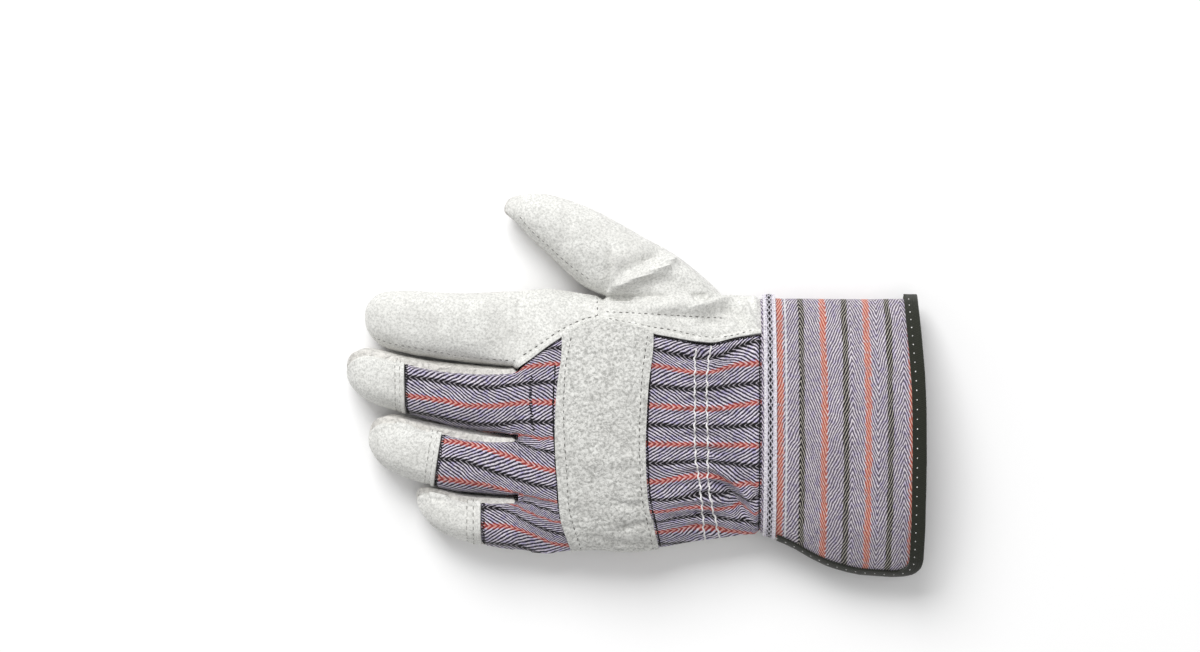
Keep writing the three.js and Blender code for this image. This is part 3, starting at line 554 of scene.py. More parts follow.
@dataclass(frozen=True)
class Relief:
    """Folds of the top and of the underside, soft lumps, and the gathers of the elastic."""

    top: tuple[Fold, ...] = (
        # thumb: creases at its root and ball
        Fold(((-14.4, 40.5), (-12, 48), (-10.6, 55), (-11.8, 64)), 1.7, -2.6),
        Fold(((-10.5, 46), (-7.6, 53), (-7.4, 61)), 1.9, 1.3),
        Fold(((-11, 42.6), (1, 48.6), (12, 53), (18, 58.4), (22, 61)), 2.1, 3.0),
        Fold(((-7, 49.5), (3, 55), (10, 58.4), (15, 63)), 2.6, -2.4),
        Fold(((-2, 43.4), (9, 46), (18, 46), (30, 40)), 3.0, -2.2),
        Fold(((20, 54), (27, 48), (33, 42)), 2.6, 1.0),
        Fold(((-22, 52), (-26, 62), (-26, 72)), 2.8, 0.7),
        Fold(((-33, 62), (-30, 70), (-31, 78)), 2.4, -0.8),
        # gore: ridges that run to the wrist
        Fold(((24, 34), (34, 35.4), (40, 38), (45, 41)), 2.2, 3.0),
        Fold(((38, 34.2), (44, 34.6), (48, 31), (49.6, 27)), 1.9, -2.6),
        Fold(((47, 39.5), (51, 34), (53, 27)), 1.9, 1.8),
        Fold(((28, 29.6), (37, 29.6), (43, 27)), 2.2, -1.8),
        Fold(((53, 39), (54.5, 32), (55, 26)), 1.8, -0.8),
        Fold(((-10, 33.5), (14, 32), (38, 30.4)), 1.5, -0.7),
        Fold(((-8, 36), (12, 35), (26, 33.5)), 2.4, 0.6),
        # index finger: soft creases over its joints
        Fold(((-62, 38), (-60, 28), (-58, 14)), 2.6, -0.8),
        Fold(((-69, 40), (-67, 30), (-67, 14)), 3.4, 0.6),
        Fold(((-91, 41), (-89, 30), (-91, 17)), 2.4, -0.6),
        Fold(((-35, 42), (-31, 35), (-22, 30)), 2.6, 0.7),
        Fold(((-42, 40), (-38, 30), (-30, 24)), 2.4, -0.7),
        Fold(((-24, 40), (-19, 35), (-15, 31)), 2.0, -0.9),
        # other fingers
        Fold(((-86, 8), (-84, -2), (-86, -14)), 2.4, -0.6),
        Fold(((-66, 4), (-68, -6), (-64, -18)), 2.6, -0.9),
        Fold(((-58, 4), (-60, -8), (-57, -18)), 2.8, 0.7),
        Fold(((-110, 12), (-107, 4), (-109, -6)), 2.4, -0.5),
        Fold(((-78, -22), (-75, -32), (-79, -43)), 2.2, -0.7),
        Fold(((-66, -25), (-64, -34), (-63, -44)), 2.6, 0.7),
        Fold(((-58, -24), (-60, -34), (-56, -46)), 2.2, -0.8),
        Fold(((-98, -22), (-95, -30), (-97, -38)), 2.4, -0.5),
        Fold(((-61, -53), (-59, -60), (-58, -68)), 2.2, -0.8),
        Fold(((-78, -50), (-76, -56), (-78, -64)), 2.2, -0.5),
        # between the fingers' roots the cloth sinks
        Fold(((-54, -22.8), (-44, -24), (-34, -25)), 2.4, -1.6),
        Fold(((-54, -50), (-45, -52.5), (-34, -55)), 2.4, -1.6),
        Fold(((-50, 8), (-42, 7), (-36, 3)), 2.2, -0.7),
        # strap: shallow dents
        Fold(((-16, -17), (-6.3, -24.3), (2, -32)), 1.4, -0.8),
        Fold(((-26, -32), (-12, -34), (2, -30)), 3.4, 0.6),
        Fold(((-11, -49.6), (-3, -52.6), (7, -51)), 1.5, -1.1),
        Fold(((-9, -64), (-3, -62), (4.5, -60.3), (11, -63)), 1.5, -1.5),
        Fold(((-21, -64.5), (-12, -68), (0, -69.6), (12, -69)), 1.2, -1.2),
        Fold(((-25, -40), (-23.5, -52), (-21, -62)), 1.6, -0.9),
        Fold(((-20, 22), (-12, 14), (-14, 2)), 4.0, 0.4),
        # cloth between strap and cuff
        Fold(((10, -58), (24, -60), (36, -58)), 2.4, -1.1),
        Fold(((10, -52), (26, -50), (40, -51)), 2.6, 0.7),
        Fold(((34, -35), (44, -41), (51.5, -50), (55.4, -60)), 1.7, 2.4),
        Fold(((32, -41), (41, -46), (47.5, -54), (50.5, -62)), 2.0, -2.6),
        Fold(((49, -41), (53, -46), (57, -54)), 1.4, -1.2),
        Fold(((12, 15), (22, 12), (31, 9)), 2.0, -1.0),
        Fold(((36, 9), (45, 14), (54, 18)), 2.0, -0.9),
        Fold(((10, -12), (20, -13), (29, -12)), 2.2, -0.5),
        Fold(((38, -13), (46, -12), (55, -13)), 2.2, -0.5),
        # cuff: a stiff cloth, barely dented
        Fold(((64, -10), (90, -14), (124, -10)), 14.0, 0.5),
        Fold(((60, -44), (84, -50), (120, -48)), 10.0, -0.5),
        Fold(((62, 26), (90, 24), (120, 28)), 8.0, -0.4),
    )
    under: tuple[Fold, ...] = (
        Fold(((-44, 34), (-40, 14), (-42, -8)), 2.6, -1.1),
        Fold(((-36, 36), (-32, 10), (-33, -30), (-35, -64)), 3.0, 0.8),
        Fold(((-24, 38), (-14, 10), (-16, -24)), 2.8, -1.2),
        Fold(((34, 30), (14, 12), (2, -14), (6, -44)), 3.2, -1.3),
        Fold(((42, 20), (26, 4), (16, -20), (20, -50)), 3.4, 0.9),
        Fold(((-16, -34), (-10, -50), (-14, -68)), 2.8, -1.0),
        Fold(((46, 30), (47, 0), (45, -40)), 2.2, -0.9),
        Fold(((-66, 36), (-64, 24), (-66, 12)), 2.6, -0.9),
        Fold(((-92, 38), (-90, 28), (-92, 17)), 2.4, -0.8),
        Fold(((-70, 6), (-68, -6), (-70, -18)), 2.6, -0.9),
        Fold(((-98, 8), (-96, 0), (-98, -12)), 2.4, -0.8),
        Fold(((-70, -24), (-68, -34), (-70, -46)), 2.6, -0.9),
        Fold(((-94, -20), (-92, -30), (-94, -40)), 2.4, -0.8),
        Fold(((-68, -52), (-66, -60), (-68, -70)), 2.4, -0.9),
        Fold(((-22, 52), (-14, 62), (-10, 72)), 2.6, -0.8),
    )
    lump_size: float = 17.0
    lump_rise: float = 0.55
    elastic_x: tuple[float, float] = (28.0, 33.2)
    gather_pitch: float = 5.2
    gather_rise: float = 0.85
    gather_reach: float = 10.0

    def lumps(self, points: np.ndarray) -> np.ndarray:
        """Soft unevenness, the same wherever two pieces share a point."""
        size = self.lump_size
        near = [noise.noise(Vector(p) / size) + 0.5 * noise.noise(Vector(p) / size * 2.3) for p in points]
        return self.lump_rise * np.array(near)

    def gathers(self, points: np.ndarray) -> np.ndarray:
        """Small puckers that run along the hand through the two rows of elastic.

        Args:
            points: where.

        Returns:
            The rise at each point.
        """
        x, y = points[:, 0], points[:, 1]
        middle = sum(self.elastic_x) / 2
        bend = 1.4 * np.sin(x / 6.1) + 0.9 * np.sin(y / 7.3)
        ripple = np.cos(2 * math.pi * (y + bend) / self.gather_pitch)
        ripple = ripple + 0.45 * np.cos(2 * math.pi * (y - bend) / self.gather_pitch / 1.62)
        reach = np.exp(-(((x - middle) / self.gather_reach) ** 2))
        sunk = sum(np.exp(-(((x - row) / 1.1) ** 2)) for row in self.elastic_x)
        inside = smooth_step((x - 7.0) / 4.0) * smooth_step((56.5 - x) / 5.0)
        return (self.gather_rise * ripple * reach - 0.55 * sunk) * inside

    def height(self, points: np.ndarray, outward: np.ndarray, gathered: bool) -> np.ndarray:
        """Rise of the surface along its outward direction.

        Args:
            points: where, in the glove's frame.
            outward: unit directions out of the surface.
            gathered: whether the piece is drawn up by the elastic.

        Returns:
            The rise at each point.
        """
        x, y = points[:, 0], points[:, 1]
        upper = smooth_step(outward[:, 2] * 1.6)
        lower = smooth_step(-outward[:, 2] * 1.6)
        rise = upper * sum(fold.height(x, y) for fold in self.top)
        rise = rise + lower * sum(fold.height(x, y) for fold in self.under)
        quiet = 1.0 - 0.75 * smooth_step((x - 54.0) / 10.0)
        rise = rise + quiet * self.lumps(points)
        if gathered:
            rise = rise + upper * self.gathers(points)
        return rise


RELIEF = Relief()


# ---- thin walled pieces ----


def linked(name: str, data: bpy.types.ID) -> bpy.types.Object:
    """A new object in the scene."""
    made = bpy.data.objects.new(name, data)
    bpy.context.scene.collection.objects.link(made)
    return made


def cloth_piece(
    name: str, points: np.ndarray, faces: list[list[int]], cloth: np.ndarray, sharp: float,
) -> bpy.types.Object:
    """A smooth object in metres that knows its places on the flat cloth.

    Args:
        name: the piece.
        points: its points, in millimetres.
        faces: each face's corners.
        cloth: where each point lies on the flat cloth.
        sharp: the angle in degrees from which an edge stays sharp.

    Returns:
        The object.
    """
    mesh = bpy.data.meshes.new(name)
    mesh.from_pydata((points * MM).tolist(), [], faces)
    corners = np.empty(len(mesh.loops), np.int32)
    mesh.loops.foreach_get("vertex_index", corners)
    mesh.uv_layers.new(name="cloth").data.foreach_set("uv", cloth[corners].astype(np.float32).ravel())
    mesh.polygons.foreach_set("use_smooth", np.ones(len(mesh.polygons), bool))
    mesh.set_sharp_from_angle(angle=math.radians(sharp))
    mesh.update()
    return linked(name, mesh)


class Cage:
    """The coarse outer surface of one piece, as faces over shared points."""

    def __init__(self) -> None:
        """Starts an empty cage."""
        self.points: list[np.ndarray] = []
        self.outward: list[np.ndarray] = []
        self.cloth: list[tuple[float, float]] = []
        self.faces: list[list[int]] = []
        self.known: dict[tuple[int, ...], int] = {}

    def patch(self, outer: np.ndarray, inner: np.ndarray, cloth: np.ndarray | None = None) -> "Cage":
        """Adds a patch of rows and columns of points.

        Args:
            outer: the points of the outer face.
            inner: the points of the inner face.
            cloth: where each point lies on the flat cloth.

        Returns:
            The cage itself.
        """
        lines = outer.shape[:2]
        outward = outer - inner
        outward = outward / np.maximum(np.linalg.norm(outward, axis=-1, keepdims=True), 1e-9)
        flat = outer[..., :2] if cloth is None else cloth
        grid = np.empty(lines, int)
        for i in range(lines[0]):
            for j in range(lines[1]):
                key = tuple(np.round(outer[i, j] * 25 + 0.137).astype(int))
                if key not in self.known:
                    self.known[key] = len(self.points)
                    self.points.append(outer[i, j])
                    self.outward.append(outward[i, j])
                    self.cloth.append(tuple(flat[i, j]))
                grid[i, j] = self.known[key]
        for i in range(lines[0] - 1):
            for j in range(lines[1] - 1):
                self.face([grid[i, j], grid[i + 1, j], grid[i + 1, j + 1], grid[i, j + 1]])
        return self

    def face(self, corners: list[int]) -> None:
        """Adds a face, without its doubled corners and with its outer side outwards.

        Args:
            corners: its four corners, some of which may be the same.
        """
        ring = [int(corner) for k, corner in enumerate(corners) if corner != corners[(k + 1) % 4]]
        if len(ring) < 3:
            return
        a, b, c = (self.points[corner] for corner in ring[:3])
        normal = np.cross(b - a, c - a)
        if np.linalg.norm(normal) < 1e-9:
            normal = np.cross(c - a, self.points[ring[-1]] - a)
        outward = sum(self.outward[corner] for corner in ring)
        self.faces.append(ring if normal @ outward >= 0 else ring[::-1])

    def subdivided(self, places: np.ndarray, levels: int) -> bpy.types.Mesh:
        """The cage with its points at the given places, subdivided, as a mesh to read and remove.

        Args:
            places: one for each of the cage's points.
            levels: how many times.

        Returns:
            The mesh.
        """
        mesh = bpy.data.meshes.new("cage")
        mesh.from_pydata(places.tolist(), [], self.faces)
        outward = mesh.attributes.new("outward", "FLOAT_VECTOR", "POINT")
        outward.data.foreach_set("vector", np.array(self.outward, np.float32).ravel())
        holder = linked("cage", mesh)
        smooth = holder.modifiers.new("smooth", "SUBSURF")
        smooth.levels = levels
        smooth.render_levels = levels
        smooth.boundary_smooth = "PRESERVE_CORNERS"
        graph = bpy.context.evaluated_depsgraph_get()
        made = bpy.data.meshes.new_from_object(holder.evaluated_get(graph), depsgraph=graph)
        bpy.data.objects.remove(holder)
        bpy.data.meshes.remove(mesh)
        return made

    def smoothed(self, levels: int) -> tuple[np.ndarray, np.ndarray, np.ndarray, list[list[int]]]:
        """Subdivides the cage, and the flat cloth along with it.

        Args:
            levels: how many times.

        Returns:
            Points, outward directions, places on the flat cloth, and faces.
        """
        flat = np.column_stack([np.array(self.cloth, float), np.zeros(len(self.cloth))])
        solid = self.subdivided(np.array(self.points), levels)
        spread = self.subdivided(flat, levels)
        results = []
        for read, name in ((solid.vertices, "co"), (solid.attributes["outward"].data, "vector"),
                           (spread.vertices, "co")):
            values = np.empty(len(solid.vertices) * 3, np.float32)
            read.foreach_get(name, values)
            results.append(values.reshape(-1, 3).astype(float))
        faces = [list(face.vertices) for face in solid.polygons]
        bpy.data.meshes.remove(solid)
        bpy.data.meshes.remove(spread)
        points, directions, places = results
        directions /= np.maximum(np.linalg.norm(directions, axis=1, keepdims=True), 1e-9)
        return points, directions, places[:, :2], faces


def free_edges(faces: list[list[int]]) -> list[tuple[int, int]]:
    """The edges that only one face has, each in the direction that its face runs.

    Args:
        faces: each face's corners.

    Returns:
        Pairs of corners.
    """
    edges: dict[tuple[int, int], bool] = {}
    for ring in faces:
        for k, start in enumerate(ring):
            end = ring[(k + 1) % len(ring)]
            if (end, start) in edges:
                del edges[(end, start)]
            else:
                edges[(start, end)] = True
    return list(edges)


def point_normals(points: np.ndarray, faces: list[list[int]]) -> np.ndarray:
    """Unit normals at the points of a surface."""
    quads = np.array([ring if len(ring) == 4 else [*ring, ring[0]] for ring in faces])
    across = np.cross(points[quads[:, 2]] - points[quads[:, 0]], points[quads[:, 3]] - points[quads[:, 1]])
    normals = np.zeros_like(points)
    for corner in range(4):
        np.add.at(normals, quads[:, corner], across)
    return normals / np.maximum(np.linalg.norm(normals, axis=1, keepdims=True), 1e-12)


@dataclass
class Surface:
    """The finished outer face of a piece, for laying stitches on it."""

    points: np.ndarray
    faces: list[list[int]]
    tree: BVHTree = field(init=False)

    def __post_init__(self) -> None:
        """Builds the tree that finds places on the surface."""
        self.tree = BVHTree.FromPolygons([tuple(point) for point in self.points], self.faces)


SHARP_WALL = 55.0
SHARP_FOLD = 60.0
OUTWARD_SHARE = 0.6  # how much the wall keeps to the cage's outward direction, beside the surface's own


@dataclass
class Panel:
    """One cut piece of leather or cloth: its cage, its wall, and how its edges are sewn."""

    name: str
    cage: Cage
    wall: float
    seams: Callable[[np.ndarray], list[Seam]]
    levels: int = 2
    gathered: bool = False
    lift: float = 0.0
    relief: float = 1.0

    def edge_rise(self, points: np.ndarray, edges: list[tuple[int, int]]) -> np.ndarray:
        """Rise that the seams give, from each point's distance to the nearest free edge.

        Args:
            points: the surface's points.
            edges: its free edges.

        Returns:
            The rise at each point.
        """
        spots = [mix(points[a], points[b], k / 3) for a, b in edges for k in range(3)]
        kinds = self.seams(np.array(spots))
        tree = kdtree.KDTree(len(spots))
        for index, spot in enumerate(spots):
            tree.insert(spot, index)
        tree.balance()
        found = [tree.find(point) for point in points]
        away = np.array([hit[2] for hit in found])
        nearest = [kinds[hit[1]] for hit in found]
        rise = np.zeros(len(points))
        for kind in set(nearest):
            chosen = np.array([other is kind for other in nearest])
            rise[chosen] = kind.height(away[chosen])
        return rise

    def build(self) -> tuple[bpy.types.Object, Surface]:
        """Makes the piece as a closed shell.

        Returns:
            The object and its outer surface in millimetres.
        """
        points, outward, cloth, faces = self.cage.smoothed(self.levels)
        edges = free_edges(faces)
        base = points - outward * self.lift
        rise = self.relief * RELIEF.height(base, outward, self.gathered) + self.edge_rise(points, edges)
        outer = points + outward * rise[:, None]
        outer[:, 2] = np.maximum(outer[:, 2], 0.0)
        normals = point_normals(outer, faces)
        normals = normals + OUTWARD_SHARE * outward
        normals /= np.linalg.norm(normals, axis=1, keepdims=True)
        inner = outer - normals * self.wall
        inner[:, 2] = np.maximum(inner[:, 2], 0.5 * self.wall)
        return self.shell(outer, inner, cloth, faces, edges), Surface(outer, faces)

    def shell(
        self, outer: np.ndarray, inner: np.ndarray, cloth: np.ndarray, faces: list[list[int]],
        edges: list[tuple[int, int]],
    ) -> bpy.types.Object:
        """Joins an outer and an inner face with a rim, as one closed mesh in metres.

        Args:
            outer: points of the outer face.
            inner: points of the inner face.
            cloth: where each point lies on the flat cloth.
            faces: each face's corners.
            edges: the free edges that the rim follows.

        Returns:
            The object.
        """
        count = len(outer)
        everything = list(faces)
        everything += [[count + corner for corner in reversed(ring)] for ring in faces]
        everything += [[b, a, count + a, count + b] for a, b in edges]
        points = np.vstack([outer, inner])
        return cloth_piece(self.name, points, everything, np.vstack([cloth, cloth]), SHARP_WALL)


# ---- finishes ----

Colour = tuple[float, float, float]


def shade(red: int, green: int, blue: int) -> tuple[float, float, float, float]:
    """A linear colour from everyday 0 to 255 values."""
    parts = [value / 255 for value in (red, green, blue)]
    linear = [part / 12.92 if part <= 0.04045 else ((part + 0.055) / 1.055) ** 2.4 for part in parts]
    return (linear[0], linear[1], linear[2], 1.0)


class Board:
    """Adds nodes to a tree and links them."""

    def __init__(self, tree: bpy.types.NodeTree) -> None:
        """Keeps the tree."""
        self.tree = tree

    def feed(self, socket: bpy.types.NodeSocket, value: object) -> None:
        """Links a socket to an input, or sets the input's own value."""
        if isinstance(value, bpy.types.NodeSocket):
            self.tree.links.new(value, socket)
        else:
            socket.default_value = value

    def add(self, kind: str, inputs: dict[str | int, object] | None = None, **settings: object) -> bpy.types.Node:
        """Adds a node.

        Args:
            kind: the node's type.
            inputs: values or sockets for its inputs, by name or number.
            settings: its other properties.

        Returns:
            The node.
        """
        node = self.tree.nodes.new(kind)
        for name, value in settings.items():
            setattr(node, name, value)
        for name, value in (inputs or {}).items():
            self.feed(node.inputs[name], value)
        return node

    def out(
        self, kind: str, inputs: dict[str | int, object] | None = None, **settings: object,
    ) -> bpy.types.NodeSocket:
        """Adds a node and gives its first output."""
        return self.add(kind, inputs, **settings).outputs[0]

    def math(self, operation: str, *values: object, clamp: bool = False) -> bpy.types.NodeSocket:
        """The result of one arithmetic step."""
        return self.out("ShaderNodeMath", dict(enumerate(values)), operation=operation, use_clamp=clamp)

    def plus(self, first: object, second: object) -> bpy.types.NodeSocket:
        """The sum of two."""
        return self.math("ADD", first, second)

    def minus(self, first: object, second: object, clamp: bool = False) -> bpy.types.NodeSocket:
        """The first less the second."""
        return self.math("SUBTRACT", first, second, clamp=clamp)

    def times(self, first: object, second: object) -> bpy.types.NodeSocket:
        """The product of two."""
        return self.math("MULTIPLY", first, second)

    def scaled(self, vector: object, factor: object) -> bpy.types.NodeSocket:
        """A vector times a number."""
        return self.out("ShaderNodeVectorMath", {0: vector, 3: factor}, operation="SCALE")

    def ramp(self, value: object, low: float, high: float) -> bpy.types.NodeSocket:
        """0 below low, 1 above high, smooth between; high may be the lower of the two."""
        turned = high < low
        spread = {"Value": value, "From Min": min(low, high), "From Max": max(low, high)}
        spread |= {"To Min": float(turned), "To Max": float(not turned)}
        return self.add("ShaderNodeMapRange", spread, interpolation_type="SMOOTHSTEP").outputs[0]

    def blend(self, share: object, first: object, second: object, kind: str = "MIX") -> bpy.types.NodeSocket:
        """A colour between two."""
        inputs = {0: share, 6: first, 7: second}
        return self.add("ShaderNodeMix", inputs, data_type="RGBA", blend_type=kind).outputs[2]

    def noise(self, vector: object, size: float, detail: float = 2.0, rough: float = 0.5) -> bpy.types.NodeSocket:
        """Noise of a feature size, in the unit of the vector."""
        inputs = {"Vector": vector, "Scale": 1.0 / size, "Detail": detail, "Roughness": rough}
        return self.add("ShaderNodeTexNoise", inputs).outputs[0]


def node_group(
    name: str, inputs: dict[str, tuple[str, object]], outputs: Sequence[str],
    wire: Callable[[Board, bpy.types.Node], dict[str, bpy.types.NodeSocket]],
) -> bpy.types.NodeTree:
    """A shader node group, built once.

    Args:
        name: its name.
        inputs: socket type and default value of each input.
        outputs: names of its outputs, all plain values.
        wire: builds the inside and gives the sockets of the outputs.

    Returns:
        The group.
    """
    if name in bpy.data.node_groups:
        return bpy.data.node_groups[name]
    group = bpy.data.node_groups.new(name, "ShaderNodeTree")
    for label, (kind, value) in inputs.items():
        socket = group.interface.new_socket(name=label, in_out="INPUT", socket_type=kind)
        if value is not None:
            socket.default_value = value
    for label in outputs:
        group.interface.new_socket(name=label, in_out="OUTPUT", socket_type="NodeSocketFloat")
    board = Board(group)
    made = wire(board, board.add("NodeGroupInput"))
    board.add("NodeGroupOutput", made)
    return group


def nap_group() -> bpy.types.NodeTree:
    """The brushed fibre of split leather: fine specks, broad blotches, a crease mask that the finish also uses
    for painted shade, and a height.
    """

    def wire(board: Board, given: bpy.types.Node) -> dict[str, bpy.types.NodeSocket]:
        """Builds the group's inside.

        Args:
            board: adds the nodes.
            given: the group's input node.

        Returns:
            The sockets of the outputs.
        """
        place = board.scaled(given.outputs["Place"], PER_METRE)
        grain = board.out(
            "ShaderNodeTexNoise",
            {"Vector": place, "Scale": board.math("DIVIDE", 1.0, given.outputs["Grain"]), "Detail": 3.0,
             "Roughness": 0.62, "Distortion": 0.35},
        )
        crumbs = board.out(
            "ShaderNodeTexVoronoi",
            {"Vector": place, "Scale": board.math("DIVIDE", 0.62, given.outputs["Grain"]), "Smoothness": 0.7},
            feature="SMOOTH_F1",
        )
        fibre = board.noise(place, 0.42, 2.0, 0.7)
        broad = board.noise(place, 19.0, 3.0, 0.55)
        middle = board.noise(place, 5.5, 2.0, 0.5)
        speck = board.ramp(board.plus(board.times(grain, 0.75), board.times(fibre, 0.25)), 0.38, 0.66)
        blotch = board.ramp(board.plus(board.times(broad, 0.65), board.times(middle, 0.35)), 0.36, 0.66)
        rise = board.plus(board.times(grain, 0.6), board.times(crumbs, given.outputs["Crumbs"]))
        rise = board.plus(rise, board.times(fibre, 0.22))
        folded = board.out(
            "ShaderNodeTexNoise",
            {"Vector": place, "Scale": 1.0 / 9.0, "Detail": 1.0, "Roughness": 0.5, "Distortion": 0.6},
        )
        away = board.math("ABSOLUTE", board.minus(folded, 0.5))
        crease = board.times(board.ramp(away, 0.075, 0.0), given.outputs["Creases"])
        rise = board.plus(rise, crease)
        return {"Speck": speck, "Blotch": blotch, "Crease": crease, "Rise": rise}

    inputs = {
        "Place": ("NodeSocketVector", None), "Grain": ("NodeSocketFloat", 1.1),
        "Crumbs": ("NodeSocketFloat", 0.3), "Creases": ("NodeSocketFloat", 0.4),
    }
    return node_group("leather nap", inputs, ("Speck", "Blotch", "Crease", "Rise"), wire)


def weave_group() -> bpy.types.NodeTree:
    """A striped herringbone cloth. Stripe and Turn count half pitches: even and odd stripes, and
    the lines where the twill turns back."""

    def wire(board: Board, given: bpy.types.Node) -> dict[str, bpy.types.NodeSocket]:
        """Builds the group's inside.

        Args:
            board: adds the nodes.
            given: the group's input node.

        Returns:
            The sockets of the outputs.
        """
        run, stripe, turn = (given.outputs[name] for name in ("Run", "Stripe", "Turn"))
        pitch, width = given.outputs["Pitch"], given.outputs["Width"]
        across = board.times(stripe, pitch)
        place = board.out("ShaderNodeCombineXYZ", {0: run, 1: across})
        sway = board.times(board.minus(board.noise(place, 8.0, 1.0, 0.5), 0.5), 0.16)
        stripe, turn = board.plus(stripe, sway), board.plus(turn, sway)
        slack = board.minus(board.noise(place, 3.4, 2.0, 0.6), 0.5)
        zigzag = board.times(board.math("PINGPONG", turn, 1.0), given.outputs["Slant"])
        order = board.math("DIVIDE", board.plus(run, zigzag), given.outputs["Spacing"])
        order = board.plus(order, board.times(slack, 0.55))
        wave = board.math("SINE", board.times(order, 2 * math.pi))
        uneven = board.minus(board.noise(place, 1.15, 2.0, 0.7), 0.5)
        rough = board.plus(wave, board.times(uneven, 2.4))
        line = board.ramp(rough, -0.6, 0.85)
        clean = board.plus(wave, board.times(uneven, 1.1))
        bold = board.ramp(board.minus(clean, given.outputs["Weight"]), -0.12, 0.3)
        fade = board.noise(place, 2.6, 2.0, 0.6)
        thread = board.math("SINE", board.times(across, 2 * math.pi / 0.62))
        thread = board.times(board.math("SINE", board.times(run, 2 * math.pi / 0.7)), thread)
        thread = board.plus(board.times(thread, 0.5), 0.5)
        even = board.times(board.math("PINGPONG", stripe, 1.0), pitch)
        odd = board.minus(pitch, even)
        ragged = board.times(board.minus(line, 0.5), 0.5)
        masks = []
        for away, share, feather in ((even, 0.5, 1.0), (odd, 0.5, 0.4)):
            edge = board.plus(away, board.times(ragged, feather))
            over = board.minus(edge, board.times(width, share))
            masks.append(board.ramp(over, 0.35, -0.35))
        rise = board.plus(board.times(line, 0.7), board.times(thread, 0.3))
        worn = board.times(masks[0], board.ramp(fade, 0.2, 0.5))
        made = {"Line": line, "Bold": bold, "Even": worn, "Odd": masks[1], "Thread": thread}
        return made | {"Tint": fade, "Rise": rise}

    inputs = {
        "Run": ("NodeSocketFloat", 0.0), "Stripe": ("NodeSocketFloat", 0.0), "Turn": ("NodeSocketFloat", 0.0),
        "Pitch": ("NodeSocketFloat", 8.9), "Spacing": ("NodeSocketFloat", 2.56),
        "Slant": ("NodeSocketFloat", 8.9), "Width": ("NodeSocketFloat", 2.3), "Weight": ("NodeSocketFloat", 0.5),
    }
    outputs = ("Line", "Bold", "Even", "Odd", "Thread", "Tint", "Rise")
    return node_group("striped herringbone", inputs, outputs, wire)


@dataclass(frozen=True)
class Finish:
    """What every finish shares: its name and how rough it is."""

    name: str
    roughness: float = 0.95
    sheen: float = 0.2

    def surface(self, board: Board) -> tuple[object, object, float]:
        """Gives the colour socket, the height socket and the height's size in millimetres."""
        raise NotImplementedError

    def material(self) -> bpy.types.Material:
        """The finish as a material, built the first time it is asked for."""
        if self.name in bpy.data.materials:
            return bpy.data.materials[self.name]
        made = bpy.data.materials.new(self.name)
        made.use_nodes = True
        made.node_tree.nodes.clear()
        board = Board(made.node_tree)
        colour, rise, depth = self.surface(board)
        bump = board.add("ShaderNodeBump", {"Height": rise, "Strength": 1.0, "Distance": depth * MM})
        shader = board.add(
            "ShaderNodeBsdfPrincipled",
            {"Base Color": colour, "Roughness": self.roughness, "Normal": bump.outputs[0],
             "Specular IOR Level": 0.25, "Sheen Weight": self.sheen, "Sheen Roughness": 0.5},
        )
        board.add("ShaderNodeOutputMaterial", {"Surface": shader.outputs[0]})
        return made


@dataclass(frozen=True)
class SplitLeather(Finish):
    """Brushed split leather, pale grey with darker specks."""

    pale: Colour = (236, 236, 232)
    speck: Colour = (180, 180, 176)
    blotch: Colour = (212, 211, 207)
    grain: float = 1.0
    crumbs: float = 0.25
    creases: float = 0.3
    depth: float = 0.34

    def surface(self, board: Board) -> tuple[object, object, float]:
        """Specks over blotches, with painted shade darkening the creases.

        Args:
            board: adds the nodes.

        Returns:
            The colour, the height and the height's size in millimetres.
        """
        place = board.add("ShaderNodeTexCoord").outputs["Object"]
        nap = board.add("ShaderNodeGroup", node_tree=nap_group())
        board.feed(nap.inputs["Place"], place)
        board.feed(nap.inputs["Grain"], self.grain)
        board.feed(nap.inputs["Crumbs"], self.crumbs)
        board.feed(nap.inputs["Creases"], self.creases)
        ground = board.blend(board.times(nap.outputs["Blotch"], 0.55), shade(*self.pale), shade(*self.blotch))
        colour = board.blend(board.times(nap.outputs["Speck"], 0.8), ground, shade(*self.speck))
        # Painted shade: the colour is pulled towards the speck colour along the creases, where the bump also
        # sinks.
        colour = board.blend(board.times(nap.outputs["Crease"], 0.35), colour, shade(*self.speck))
        return colour, board.minus(1.0, nap.outputs["Rise"]), self.depth


